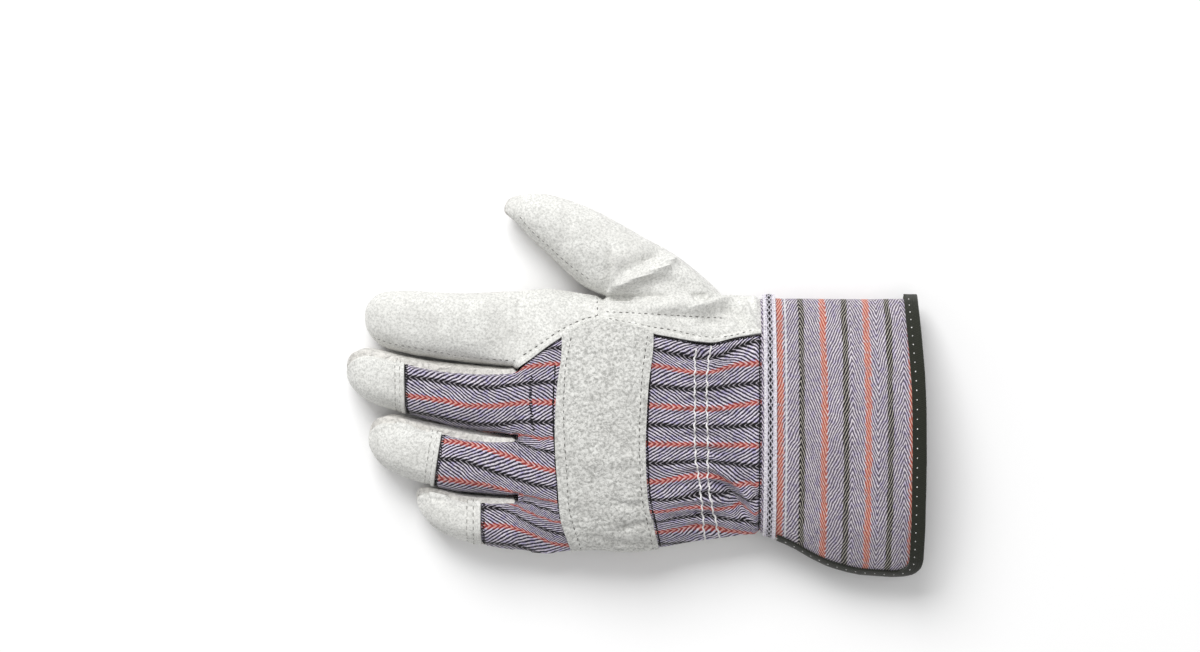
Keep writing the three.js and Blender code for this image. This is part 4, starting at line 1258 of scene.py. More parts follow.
@dataclass(frozen=True)
class Herringbone(Finish):
    """Striped herringbone cloth, in pale and dark threads with coloured and dark stripes."""

    pale: Colour = (240, 233, 244)
    dark: Colour = (46, 40, 56)
    tint: Colour = (196, 190, 238)
    stripe_pale: Colour = (232, 164, 154)
    stripe_dark: Colour = (158, 54, 48)
    black_pale: Colour = (178, 172, 180)
    black_dark: Colour = (5, 4, 5)
    pitch: float = 8.9
    spacing: float = 2.5
    slant: float = 14.0
    width: float = 2.4
    weight: float = 0.72
    stripe_zero: float = 0.0
    turn_zero: float = 0.0
    turn_pitch: float = 1.0
    white_line: float | None = None
    depth: float = 0.3

    def surface(self, board: Board) -> tuple[object, object, float]:
        """Stripes and twill from the piece's own cloth coordinates.

        Args:
            board: adds the nodes.

        Returns:
            The colour, the height and the height's size in millimetres.
        """
        flat = board.out("ShaderNodeUVMap", uv_map="cloth")
        parts = board.add("ShaderNodeSeparateXYZ", {0: flat})
        run, place = parts.outputs[0], parts.outputs[1]
        stripe, turn = place, place
        if self.turn_pitch != 1.0:
            stripe = board.math("DIVIDE", board.minus(place, self.stripe_zero), self.pitch)
            turn = board.math("DIVIDE", board.minus(place, self.turn_zero), self.turn_pitch)
        given = {"Run": run, "Stripe": stripe, "Turn": turn, "Pitch": self.pitch, "Spacing": self.spacing}
        given |= {"Slant": self.slant, "Width": self.width, "Weight": self.weight}
        weave = board.add("ShaderNodeGroup", node_tree=weave_group())
        for name, value in given.items():
            board.feed(weave.inputs[name], value)
        line = weave.outputs["Line"]
        base = board.blend(line, shade(*self.dark), shade(*self.pale))
        hue = board.ramp(weave.outputs["Tint"], 0.4, 0.75)
        base = board.blend(board.times(hue, 0.8), base, shade(*self.tint), "MULTIPLY")
        warm = board.blend(line, shade(*self.stripe_dark), shade(*self.stripe_pale))
        black = board.blend(weave.outputs["Bold"], shade(*self.black_dark), shade(*self.black_pale))
        colour = board.blend(weave.outputs["Even"], base, warm)
        colour = board.blend(weave.outputs["Odd"], colour, black)
        if self.white_line is not None:
            away = board.math("ABSOLUTE", board.minus(place, self.white_line))
            colour = board.blend(board.ramp(away, 0.55, 0.2), colour, shade(228, 226, 230))
        spot = board.add("ShaderNodeTexCoord").outputs["Object"]
        cloud = board.noise(spot, 0.012, 2.0, 0.5)
        faint = board.times(board.minus(cloud, 0.35, clamp=True), 0.5)
        colour = board.blend(faint, colour, shade(*self.dark))
        # Painted shade: the colour is darkened a little in the gaps between the threads, where their relief
        # sinks.
        soft = board.times(board.minus(1.0, weave.outputs["Thread"]), 0.16)
        colour = board.blend(soft, colour, shade(50, 44, 56))
        return colour, weave.outputs["Rise"], self.depth


@dataclass(frozen=True)
class TwillTape(Finish):
    """Dark folded binding cloth with a fine rib."""

    colour: Colour = (15, 17, 12)
    lit: Colour = (52, 54, 44)
    depth: float = 0.2

    def surface(self, board: Board) -> tuple[object, object, float]:
        """A rib across the fold and uneven threads.

        Args:
            board: adds the nodes.

        Returns:
            The colour, the height and the height's size in millimetres.
        """
        place = board.add("ShaderNodeTexCoord").outputs["Object"]
        scaled = board.scaled(place, PER_METRE)
        flat = board.add("ShaderNodeSeparateXYZ", {0: board.add("ShaderNodeUVMap", uv_map="cloth").outputs[0]})
        rib = board.math("SINE", board.times(flat.outputs[0], 2 * math.pi / 0.85))
        cross = board.math("SINE", board.times(flat.outputs[1], 2 * math.pi / 0.85))
        threads = board.plus(board.times(board.times(rib, cross), 0.5), 0.5)
        fuzz = board.noise(scaled, 1.3, 3.0, 0.65)
        share = board.times(board.plus(threads, board.times(fuzz, 1.2)), 0.42)
        colour = board.blend(share, shade(*self.colour), shade(*self.lit))
        rise = board.plus(board.times(threads, 0.6), board.times(fuzz, 0.5))
        return colour, rise, self.depth


@dataclass(frozen=True)
class ChainTape(Finish):
    """Pale seam tape with a dark row down its middle, crossed by a chain of pale thread."""

    pale: Colour = (226, 222, 232)
    worn: Colour = (142, 136, 148)
    dark: Colour = (28, 26, 32)
    row: float = 60.75
    row_half: float = 1.15
    swing: float = 0.9
    pitch: float = 7.2
    depth: float = 0.25

    def surface(self, board: Board) -> tuple[object, object, float]:
        """The row and its chain from the tape's own cloth coordinates.

        Args:
            board: adds the nodes.

        Returns:
            The colour, the height and the height's size in millimetres.
        """
        flat = board.out("ShaderNodeUVMap", uv_map="cloth")
        parts = board.add("ShaderNodeSeparateXYZ", {0: flat})
        wander = board.times(board.minus(board.noise(flat, 1.6, 2.0, 0.6), 0.5), 0.9)
        aside = board.plus(board.minus(parts.outputs[1], self.row), wander)
        row = board.ramp(board.math("ABSOLUTE", aside), self.row_half + 0.15, self.row_half - 0.15)
        way = board.times(parts.outputs[0], 2 * math.pi / self.pitch)
        swing = board.times(board.math("SINE", way), self.swing)
        chain: object = 0.0
        for change in ("ADD", "SUBTRACT"):
            away = board.math("ABSOLUTE", board.math(change, aside, swing))
            chain = board.math("MAXIMUM", chain, board.ramp(away, 0.46, 0.16))
        marks = board.times(row, board.minus(1.0, board.times(chain, 0.8)))
        place = board.add("ShaderNodeTexCoord").outputs["Object"]
        scaled = board.scaled(place, PER_METRE)
        fuzz = board.noise(scaled, 0.8, 3.0, 0.7)
        ground = board.blend(board.ramp(fuzz, 0.35, 0.75), shade(*self.pale), shade(*self.worn))
        colour = board.blend(marks, ground, shade(*self.dark))
        rise = board.minus(board.times(fuzz, 0.6), board.times(marks, 0.6))
        return colour, rise, self.depth


@dataclass(frozen=True)
class Thread(Finish):
    """Twisted sewing thread."""

    colour: Colour = (246, 245, 244)
    shadow: Colour = (196, 192, 192)

    def surface(self, board: Board) -> tuple[object, object, float]:
        """A slight unevenness of the twist.

        Args:
            board: adds the nodes.

        Returns:
            The colour, the height and the height's size in millimetres.
        """
        place = board.add("ShaderNodeTexCoord").outputs["Object"]
        scaled = board.scaled(place, PER_METRE)
        twist = board.noise(scaled, 0.45, 2.0, 0.6)
        colour = board.blend(board.ramp(twist, 0.35, 0.7), shade(*self.colour), shade(*self.shadow))
        return colour, twist, 0.08


BACK_LEATHER = SplitLeather("brushed leather")
PALM_LEATHER = SplitLeather(
    "rough palm leather", pale=(228, 226, 221), speck=(168, 166, 162), blotch=(204, 199, 193),
    grain=1.7, crumbs=0.6, creases=0.45, depth=0.6,
)
STRAP_LEATHER = SplitLeather(
    "coarse strap leather", pale=(230, 230, 226), speck=(146, 146, 142), grain=1.3, crumbs=0.6, creases=0.2,
    depth=0.72,
)
BACK_CLOTH = Herringbone("striped back cloth")
CUFF_CLOTH = Herringbone(
    "striped cuff cloth", pale=(236, 228, 234), dark=(98, 90, 104), tint=(208, 202, 236),
    stripe_pale=(238, 180, 160), stripe_dark=(180, 84, 68), black_pale=(190, 184, 172),
    black_dark=(12, 10, 6), weight=0.5, pitch=9.8, spacing=2.9, slant=29.0, width=2.7, stripe_zero=65.1,
    turn_zero=74.2, turn_pitch=11.5, white_line=67.9,
)
BINDING_CLOTH = TwillTape("dark binding")
SEAM_TAPE = ChainTape("chain stitched tape")
WHITE_THREAD = Thread("white thread")
BLACK_THREAD = Thread("dark thread", colour=(24, 22, 24), shadow=(12, 11, 13))
GREY_THREAD = Thread("grey thread", colour=(172, 171, 167), shadow=(132, 131, 128))
DIM_THREAD = Thread("dim thread", colour=(112, 110, 107), shadow=(76, 74, 72))


# ---- the cuff's own form ----


@dataclass
class CuffForm:
    """The cuff's lines: distance round from the slit, and x along the glove."""

    corner: float = 12.4
    corner_steps: int = 5
    slit_back: float = 0.1
    slit_palm: float = 0.34
    mouth_x: float = 128.7
    bow: float = 1.7
    slit_x: tuple[float, ...] = (57, 60.7, 64.4, 70, 76, 83, 91, 102)
    binding_start: int = 2
    tape_x: tuple[float, float] = (57.9, 63.6)
    steps: int = 20
    wall: float = 1.6
    trim: float = 1.0
    seam: float = 0.3
    fold_round: float = 0.55
    binding_girth: float = 16.0
    puff: float = 0.14
    puff_size: float = 5.0
    lengths: np.ndarray = field(init=False)
    angles: np.ndarray = field(init=False)

    def __post_init__(self) -> None:
        """Measures the way round, from the slit over the back to the slit again."""
        self.angles = np.linspace(math.pi - self.slit_back, -(math.pi - self.slit_palm), 241)
        points = FORM.body(100.0, np.where(self.angles < 0, self.angles + 2 * math.pi, self.angles), 0.0)
        steps = np.linalg.norm(np.diff(points, axis=0), axis=1)
        self.lengths = np.concatenate([[0.0], np.cumsum(steps)])

    @property
    def length(self) -> float:
        """The whole way round."""
        return float(self.lengths[-1])

    def points(self, distance: np.ndarray, x: np.ndarray, depth: np.ndarray) -> np.ndarray:
        """Points of the cuff at distances round and stations along."""
        distance, x, depth = np.broadcast_arrays(
            np.asarray(distance, float), np.asarray(x, float), np.asarray(depth, float)
        )
        angle = np.interp(distance, self.lengths, self.angles)
        return FORM.body(x, np.where(angle < 0, angle + 2 * math.pi, angle), depth)

    def mouth(self, distance: np.ndarray) -> np.ndarray:
        """How far the cuff reaches: its corners are arcs and its mouth is bowed."""
        distance = np.asarray(distance, float)
        from_slit = np.minimum(np.minimum(distance, self.length - distance), self.corner)
        y = self.points(distance, self.mouth_x, 0.0)[..., 1]
        bow = self.bow * smooth_step((y + 10) / 50)
        return self.mouth_x - bow - self.corner + np.sqrt(self.corner ** 2 - (self.corner - from_slit) ** 2)

    def corner_distance(self, step: float) -> float:
        """Distance from the slit of a step round the corner."""
        return self.corner * (1 - math.cos(step * math.pi / 2 / self.corner_steps))

    def distances(self) -> np.ndarray:
        """The columns of the cuff."""
        corner = [self.corner_distance(step) for step in range(self.corner_steps + 1)]
        middle = [mix(self.corner, self.length - self.corner, i / self.steps) for i in range(1, self.steps)]
        end = [self.length - distance for distance in reversed(corner)]
        return refined([*corner, *middle, *end], REFINE)

    def binding_path(self) -> np.ndarray:
        """The edge that the binding follows: distance round, x, and its inward direction."""
        path = [[0.0, x, 1.0, 0.0] for x in refined([*self.slit_x[self.binding_start:]], REFINE)]
        for step in refined(range(self.corner_steps + 1), REFINE):
            turn, distance = step * math.pi / 2 / self.corner_steps, self.corner_distance(step)
            path.append([distance, float(self.mouth(distance)), math.cos(turn), -math.sin(turn)])
        for i in refined(range(self.steps // 2 + 1), REFINE)[1:]:
            around = float(mix(self.corner, self.length - self.corner, i / self.steps))
            path.append([around, float(self.mouth(around)), 0.0, -1.0])
        mirrored = [[self.length - d, x, -in_round, in_x] for d, x, in_round, in_x in path[:-1]]
        return np.array(path + mirrored[::-1])


CUFF = CuffForm()


# ---- the striped cloth's chart ----


@dataclass(frozen=True)
class StripeChart:
    """Where the stripes of the cloth back run, as lines of [x, y] counted by phase."""

    hand: dict[int, Points] = field(default_factory=lambda: {
        -1: ((7, 16.8), (21, 13.9), (30, 12.6), (39, 13.9), (48, 18.4), (55, 20.5)),
        0: ((-54, 7.5), (-46, 9.4), (-37, 10.2), (8, 9.7), (18, 8.2), (30, 5.8), (39, 7.9),
            (47, 9.8), (56, 10.3)),
        1: ((-58, 0.1), (-47, 1.5), (-38, 2.1), (8, 0.4), (27, -1.4), (39, 0), (57, 1.6)),
        2: ((-58, -8), (-47, -6.9), (-38, -6.9), (7, -8.4), (36, -9.9), (56, -6.9)),
        3: ((-57, -16.5), (-47, -15.8), (-38, -16.2), (7, -17.1), (36, -18), (57, -17.1)),
        4: ((-52, -22.6), (-43, -24), (-37, -23.5), (7, -25.5), (39, -26.1), (56, -26.4)),
        5: ((-53.7, -23.5), (-46, -25.9), (-37, -29), (7, -34.3), (30, -33.7), (56, -35.8)),
        6: ((-54, -31.7), (-46, -35.2), (-37, -37.5), (7, -42.4), (18, -41.2), (30, -39.4), (39, -40.9),
            (47, -43.9), (56, -44.2)),
        7: ((-54, -41.8), (-46, -43.7), (-37, -45.6), (7, -51.2), (30, -49), (48, -48.7), (56, -51)),
        8: ((-54, -48.7), (-46, -51.1), (-36, -52.2), (8, -56.3), (30, -54.2), (39, -56),
            (48, -53.9), (56, -57)),
        9: ((-53, -51), (-46, -53.8), (-37, -56.5), (8, -60.5), (30, -58.5), (56, -62)),
        10: ((-53, -53), (-46, -56.5), (-38, -59.2), (-33, -60.8), (8, -65.6), (30, -63.5), (56, -67)),
        11: ((-56, -56.1), (-50, -60), (-42, -63.9), (-32, -67), (8, -71), (56, -74)),
        12: ((-54, -62.9), (-46, -66), (-38, -70), (8, -77), (56, -82)),
    })
    fingers: dict[str, dict[int, Points]] = field(default_factory=lambda: {
        "middle": {
            1: ((-102, 4), (-92, 3.2), (-77, 0.5), (-68, -1), (-58, 0.1), (-50, 1.2)),
            2: ((-103, -4.5), (-89, -5.7), (-81, -7.2), (-69, -9.6), (-58, -8), (-50, -7.2)),
            3: ((-101, -12.3), (-91, -13.5), (-81, -15.8), (-65, -18), (-57, -16.5), (-50, -16)),
        },
        "ring": {
            5: ((-88, -17.5), (-75, -20), (-61.5, -22), (-53.7, -23.5)),
            6: ((-87, -24.3), (-77, -25.1), (-69, -27.4), (-61.5, -29), (-54, -31.7)),
            7: ((-89, -32.4), (-79, -32.8), (-72, -35.2), (-64, -37.9), (-54, -41.8)),
            8: ((-91, -40.6), (-81, -42.2), (-69, -44.1), (-59, -45.6), (-54, -48.7)),
        },
        "little": {
            11: ((-68.5, -54.2), (-61.5, -54.6), (-56, -56.1), (-50, -60)),
            12: ((-70, -62.3), (-61.5, -62.7), (-54, -62.9), (-46, -66)),
        },
    })
    pitch: float = 8.9
    stripe_half: float = 1.5
    stripe_share: float = 0.42
    finger_blend: float = 8.0
    level: float = 1.0

    def phase(self, lines: dict[int, Points], x: np.ndarray, place: np.ndarray) -> np.ndarray:
        """The phase at places across the cloth, read between the nearest two lines.

        Args:
            lines: the chart's lines by phase.
            x: stations along the glove.
            place: y of each place, as if the cloth lay flat.

        Returns:
            The phase at each place.
        """
        order = sorted(lines)
        first, last = order[0], order[-1]
        tracks = np.stack([along(lines[number], x) for number in order])
        result = first - (place - tracks[0]) / self.pitch
        for k in range(len(order) - 1):
            space = np.maximum(tracks[k] - tracks[k + 1], 0.5)
            away = np.clip(tracks[k] - place, 0.0, space)
            stripe = np.minimum(self.stripe_half, self.stripe_share * space)
            near = stripe / self.pitch
            between = near + (away - stripe) / (space - 2 * stripe) * (1 - 2 * near)
            share = np.where(away < stripe, away / self.pitch, between)
            share = np.where(away > space - stripe, 1 - (space - away) / self.pitch, share)
            inside = (place <= tracks[k]) & (place > tracks[k + 1])
            result = np.where(inside, order[k] + share, result)
        return np.where(place <= tracks[-1], last - (place - tracks[-1]) / self.pitch, result)

    def cloth(self, points: np.ndarray, finger: str | None = None) -> np.ndarray:
        """Cloth coordinates of rows and columns of points: x along, and the stripe phase.

        Args:
            points: rows along the glove, columns across it.
            finger: the finger that the points belong to, or none for the hand.

        Returns:
            A pair for each point.
        """
        x, y, z = points[..., 0], points[..., 1], points[..., 2]
        run = np.zeros(x.shape)
        across, down = np.diff(y, axis=1), np.abs(np.diff(z, axis=1))
        steps = np.hypot(across, np.maximum(down - self.level * np.abs(across), 0.0))
        middle = x.shape[1] // 2
        run[:, 1:] = np.cumsum(steps, axis=1)
        place = y[:, middle:middle + 1] - (run - run[:, middle:middle + 1])
        phase = self.phase(self.hand, x, place)
        if finger:
            own = self.phase(self.fingers[finger], x, place)
            phase = mix(phase, own, smooth_step((FORM.crotch_x - x) / self.finger_blend))
        return np.stack([x, phase], axis=-1)


CHART = StripeChart()


# ---- patches of the hand ----

LEATHER_WALL = 1.6
CLOTH_WALL = 1.2


def hand_patch(
    cage: Cage, low: float, high: float, columns: np.ndarray,
    angle_at: Callable[[np.ndarray, np.ndarray], np.ndarray], wall: float, striped: bool = False,
) -> Cage:
    """Adds a patch of the hand between two stations to a cage."""
    x = hand_stations(low, high)[:, None] + 0 * columns[None]
    angle = angle_at(x, columns[None] + 0 * x)
    outer, inner = FORM.body(x, angle, 0.0), FORM.body(x, angle, wall)
    return cage.patch(outer, inner, CHART.cloth(outer) if striped else None)


def finger_patch(
    cage: Cage, name: str, first: int, last: int, wall: float, start: float = FORM.crotch_x,
    end: float = -math.inf, striped: bool = False,
) -> Cage:
    """Adds a patch of one finger, between two turns, root to tip or part of it, to a cage.

    Args:
        cage: what it is added to.
        name: the finger.
        first: the first turn, in eighths of a half turn.
        last: the last turn.
        wall: how thick the piece is.
        start: x where it begins.
        end: x where it ends.
        striped: whether it takes its cloth coordinates from the chart.

    Returns:
        The cage.
    """
    finger = FINGERS[name]
    every = refined([*finger.stations, finger.tip], REFINE)
    stations = every[(every <= start + 0.01) & (every >= end - 0.01)]
    turns = turns_between(first, last)
    outer, inner = FORM.finger(name, stations, turns, 0.0), FORM.finger(name, stations, turns, wall)
    return cage.patch(outer, inner, CHART.cloth(outer, name) if striped else None)


def near_line(points: np.ndarray, line: np.ndarray, reach: float) -> np.ndarray:
    """Whether plan points lie near a plan line."""
    away = np.full(len(points), FAR)
    for spot in line:
        away = np.minimum(away, np.hypot(points[:, 0] - spot[0], points[:, 1] - spot[1]))
    return away < reach


SEAM_REACH = 2.4
UPPER_SIDE = 14.0
NOTCH_X = -50.0
NOTCH_REACH = 3.5
BACK_LINE = np.column_stack([np.linspace(-52, 57, 60), along(FORM.back_edge, np.linspace(-52, 57, 60))])


def leather_seams(spots: np.ndarray) -> list[Seam]:
    """Seams of the leather pieces on the back: lapped on the cloth, welted at the crotch."""
    lapped = near_line(spots, BACK_LINE, SEAM_REACH) & (spots[:, 2] > UPPER_SIDE)
    star = (np.abs(spots[:, 0] - FORM.star_x) < 2.0) & (spots[:, 1] < 41) & (spots[:, 2] > UPPER_SIDE)
    return [LAPPED if lap else UNDER if joined else TUCKED for lap, joined in zip(lapped, star)]


def cloth_seams(spots: np.ndarray) -> list[Seam]:
    """Seams of the cloth back: under the leather and the tips, tucked at the fingers' sides.

    Args:
        spots: places on the piece's edges.

    Returns:
        A seam for each.
    """
    lapped = near_line(spots, BACK_LINE, SEAM_REACH) & (spots[:, 2] > UPPER_SIDE)
    crotch = np.abs(spots[:, 0] - NOTCH_X) < NOTCH_REACH
    capped = np.zeros(len(spots), bool)
    for name, cap in CAP_X.items():
        centre, half = along(FINGERS[name].centre, cap), along(FINGERS[name].half, cap)
        capped |= (np.abs(spots[:, 0] - cap) < 4.5) & (np.abs(spots[:, 1] - centre) < half + 3)
    return [
        UNDER if lap or cap else PLAIN if notch else TUCKED for lap, cap, notch in zip(lapped, capped, crotch)
    ]


def cap_seams(spots: np.ndarray) -> list[Seam]:
    """Seams of the finger tips: lapped on the cloth, tucked at the side."""
    caps = np.array(list(CAP_X.values()))
    over = np.abs(spots[:, :1] - caps[None]).min(axis=1) < 4.0
    return [LAPPED if lap else TUCKED for lap in over]


def palm_seams(spots: np.ndarray) -> list[Seam]:
    """Seams of the palm side: welted at the insert and at the thumb, tucked elsewhere."""
    welted = (spots[:, 2] < 6) & (spots[:, 0] > -54)
    return [WELTED if welt else TUCKED for welt in welted]


def plain_seams(spots: np.ndarray) -> list[Seam]:
    """A cut edge that lies flat."""
    return [PLAIN] * len(spots)


# ---- stitches ----


class Stitch(Enum):
    """Kinds of sewing: spacing, length, width and height of a stitch, its lean, its skew and its thread."""

    SEAM = ("seam", 2.9, 2.2, 0.62, 0.5, 0.0, 0.06)
    DARK_SEAM = ("dark seam", 2.9, 1.9, 0.6, 0.5, 0.0, 0.08)
    BINDING_DOT = ("binding dot", 4.3, 0.75, 0.6, 0.5, 0.0, 0.3)
    # The overlock stitch's black thread is partly real overlocking and partly a painted shadow under the tip
    # caps' edges.
    OVERLOCK = ("overlock", 1.15, 2.0, 0.85, 0.62, 1.25, 0.32)
    # The hem stitch's black thread is partly a real hem and partly a painted shadow beside the edges that it
    # follows.
    HEM = ("hem", 1.15, 1.75, 0.95, 0.55, 0.5, 0.5)
    TAPE_EDGE = ("tape edge", 1.5, 1.42, 0.6, 0.5, 0.0, 0.1)

    def __init__(
        self, label: str, spacing: float, length: float, width: float, height: float, lean: float, skew: float,
    ) -> None:
        """Keeps the sizes, in millimetres, and the angles, in radians.

        Args:
            label: its plain name.
            spacing: from one stitch to the next.
            length: of a stitch, along the line.
            width: of a stitch, across it.
            height: of a stitch, off the surface.
            lean: how far it turns off the line.
            skew: how uneven its angles are.
        """
        self.label = label
        self.spacing = spacing
        self.length = length
        self.width = width
        self.height = height
        self.lean = lean
        self.skew = skew


def socket_ids(tree: bpy.types.NodeTree) -> dict[str, str]:
    """Identifiers of a tree's inputs by name."""
    sockets = [item for item in tree.interface.items_tree if item.item_type == "SOCKET"]
    return {item.name: item.identifier for item in sockets if item.in_out == "INPUT"}


def sewing_tree(
    name: str, sizes: Sequence[str],
    lay: Callable[[Board, bpy.types.bpy_prop_collection, bpy.types.NodeSocket], bpy.types.NodeSocket],
) -> bpy.types.NodeTree:
    """Geometry nodes that turn polylines into thread of one material, built once.

    Args:
        name: the tree's name.
        sizes: its number inputs, which stand between Geometry and Material.
        lay: builds the thread from the inputs and from the lines as a curve.

    Returns:
        The tree.
    """
    if name in bpy.data.node_groups:
        return bpy.data.node_groups[name]
    tree = bpy.data.node_groups.new(name, "GeometryNodeTree")
    kinds = {"Geometry": "NodeSocketGeometry"} | dict.fromkeys(sizes, "NodeSocketFloat")
    for label, kind in (kinds | {"Material": "NodeSocketMaterial"}).items():
        tree.interface.new_socket(name=label, in_out="INPUT", socket_type=kind)
    tree.interface.new_socket(name="Geometry", in_out="OUTPUT", socket_type="NodeSocketGeometry")
    board = Board(tree)
    given = board.add("NodeGroupInput").outputs
    laid = lay(board, given, board.out("GeometryNodeMeshToCurve", {"Mesh": given["Geometry"]}))
    real = board.out("GeometryNodeRealizeInstances", {"Geometry": laid})
    smooth = board.out("GeometryNodeSetShadeSmooth", {"Geometry": real})
    dressed = board.out("GeometryNodeSetMaterial", {"Geometry": smooth, "Material": given["Material"]})
    board.add("NodeGroupOutput", {0: dressed})
    return tree


def stitch_tree() -> bpy.types.NodeTree:
    """Geometry nodes that lay rounded stitches along polylines."""

    def lay(
        board: Board, given: bpy.types.bpy_prop_collection, curve: bpy.types.NodeSocket,
    ) -> bpy.types.NodeSocket:
        """Sets an uneven bead on each even step, turned to the line and to the surface's facing.

        Args:
            board: adds the nodes.
            given: the tree's inputs.
            curve: the lines.

        Returns:
            The beads.
        """
        even = board.out("GeometryNodeResampleCurve", {"Curve": curve, "Length": given["Spacing"]}, mode="LENGTH")
        facing = board.out("GeometryNodeInputNamedAttribute", {"Name": "facing"}, data_type="FLOAT_VECTOR")
        tangent = board.out("GeometryNodeInputTangent")
        run = board.out("FunctionNodeAlignRotationToVector", {"Vector": tangent}, axis="X")
        turned = board.out(
            "FunctionNodeAlignRotationToVector", {"Rotation": run, "Vector": facing}, axis="Z", pivot_axis="X",
        )
        reach = board.out("ShaderNodeCombineXYZ", {0: 0.3, 1: 0.5, 2: 1.0})
        spread = board.scaled(reach, given["Skew"])
        back = board.scaled(spread, -1.0)
        random = board.out("FunctionNodeRandomValue", {0: back, 1: spread, 8: 11}, data_type="FLOAT_VECTOR")
        lean = board.out("ShaderNodeCombineXYZ", {2: given["Lean"]})
        swing = board.out("ShaderNodeVectorMath", {0: random, 1: lean}, operation="ADD")
        swing = board.out("FunctionNodeEulerToRotation", {0: swing})
        final = board.out("FunctionNodeRotateRotation", {0: turned, 1: swing}, rotation_space="LOCAL")
        size = board.out(
            "ShaderNodeCombineXYZ", {0: given["Length"], 1: given["Width"], 2: given["Height"]},
        )
        bead = board.out("GeometryNodeMeshUVSphere", {"Segments": 8, "Rings": 6, "Radius": 0.5})
        shrink = board.add("FunctionNodeRandomValue", {2: 0.86, 3: 1.08, 8: 5}, data_type="FLOAT").outputs[1]
        scale = board.scaled(size, shrink)
        placed = board.out(
            "GeometryNodeInstanceOnPoints", {"Points": even, "Instance": bead, "Rotation": final, "Scale": scale},
        )
        return placed

    return sewing_tree("stitches along a line", ("Spacing", "Length", "Width", "Height", "Lean", "Skew"), lay)


def cord_tree() -> bpy.types.NodeTree:
    """Geometry nodes that turn polylines into thin round thread."""

    def lay(
        board: Board, given: bpy.types.bpy_prop_collection, curve: bpy.types.NodeSocket,
    ) -> bpy.types.NodeSocket:
        """Sweeps a small ring along the lines.

        Args:
            board: adds the nodes.
            given: the tree's inputs.
            curve: the lines.

        Returns:
            The tubes.
        """
        ring = board.out("GeometryNodeCurvePrimitiveCircle", {"Resolution": 6, "Radius": given["Radius"]})
        return board.out("GeometryNodeCurveToMesh", {"Curve": curve, "Profile Curve": ring, "Fill Caps": True})

    return sewing_tree("thread along a line", ("Radius",), lay)


@dataclass
class Path:
    """A line laid on a surface: its points and the surface's facing there."""

    points: np.ndarray
    facing: np.ndarray

    @classmethod
    def dropped(cls, plan: np.ndarray, surface: Surface, from_below: bool = False, sink: float = 0.0) -> "Path":
        """Drops a plan line on a surface, from above or from below.

        Args:
            plan: the points in plan.
            surface: what it lands on.
            from_below: whether it comes up from below.
            sink: how deep it lies in the surface.

        Returns:
            The laid line, without the points that miss.
        """
        start, way = (-20.0, Vector((0, 0, 1))) if from_below else (90.0, Vector((0, 0, -1)))
        hits = [surface.tree.ray_cast(Vector((x, y, start)), way) for x, y in plan]
        kept = [(np.array(hit[0]), np.array(hit[1])) for hit in hits if hit[0] is not None]
        points = np.array([point for point, _ in kept])
        facing = np.array([normal if (normal @ np.array(way)) < 0 else -normal for _, normal in kept])
        return cls(points - facing * sink, facing)

    @classmethod
    def nearest(cls, line: np.ndarray, surface: Surface, outward: np.ndarray, sink: float = 0.0) -> "Path":
        """Pulls a line to the nearest places of a surface."""
        hits = [surface.tree.find_nearest(Vector(point)) for point in line]
        points = np.array([hit[0] for hit in hits])
        facing = np.array([hit[1] for hit in hits])
        facing = np.where((facing * outward).sum(axis=1, keepdims=True) < 0, -facing, facing)
        return cls(points - facing * sink, facing)


class Sewing:
    """Gathers the laid lines of one kind of stitch and makes them one mesh."""

    def __init__(self, name: str, stitch: Stitch | None, finish: Thread, radius: float = 0.3) -> None:
        """Keeps the name, the kind of stitch (or none for a running thread) and the finish."""
        self.name = name
        self.stitch = stitch
        self.finish = finish
        self.radius = radius
        self.paths: list[Path] = []

    def lay(self, *paths: Path) -> "Sewing":
        """Adds laid lines."""
        self.paths += [path for path in paths if len(path.points) > 1]
        return self

    def build(self) -> bpy.types.Object:
        """Sews the lines.

        Returns:
            One plain mesh object in metres.
        """
        points = np.vstack([path.points for path in self.paths]) * MM
        facing = np.vstack([path.facing for path in self.paths])
        edges, start = [], 0
        for path in self.paths:
            count = len(path.points)
            edges += [(start + k, start + k + 1) for k in range(count - 1)]
            start += count
        lines = bpy.data.meshes.new(self.name)
        lines.from_pydata(points.tolist(), edges, [])
        lines.attributes.new("facing", "FLOAT_VECTOR", "POINT").data.foreach_set(
            "vector", facing.astype(np.float32).ravel())
        holder = linked(self.name, lines)
        tree = stitch_tree() if self.stitch else cord_tree()
        ids = socket_ids(tree)
        nodes = holder.modifiers.new("sewing", "NODES")
        nodes.node_group = tree
        values: dict[str, object] = {"Material": self.finish.material()}
        if self.stitch:
            sizes = {"Spacing": self.stitch.spacing, "Length": self.stitch.length, "Width": self.stitch.width,
                     "Height": self.stitch.height}
            values |= {label: size * MM for label, size in sizes.items()}
            values |= {"Lean": self.stitch.lean, "Skew": self.stitch.skew}
        else:
            values["Radius"] = self.radius * MM
        for label, value in values.items():
            nodes[ids[label]] = value
        graph = bpy.context.evaluated_depsgraph_get()
        made = bpy.data.meshes.new_from_object(holder.evaluated_get(graph), depsgraph=graph)
        holder.modifiers.remove(nodes)
        bpy.data.objects.remove(holder)
        bpy.data.meshes.remove(lines)
        made.name = self.name
        if "facing" in made.attributes:
            made.attributes.remove(made.attributes["facing"])
        return linked(self.name, made)


# ---- sub-assemblies ----


def dress(piece: bpy.types.Object, finish: Finish, slot: str, *replaced: str) -> bpy.types.Object:
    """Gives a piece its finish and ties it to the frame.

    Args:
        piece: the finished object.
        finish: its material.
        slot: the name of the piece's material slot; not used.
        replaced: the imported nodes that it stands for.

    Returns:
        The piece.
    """
    piece.data.materials.clear()
    piece.data.materials.append(finish.material())
    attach(piece, "root")
    if replaced:
        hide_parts(*replaced)
    LOG.info("%s: %d faces", piece.name, len(piece.data.polygons))
    return piece


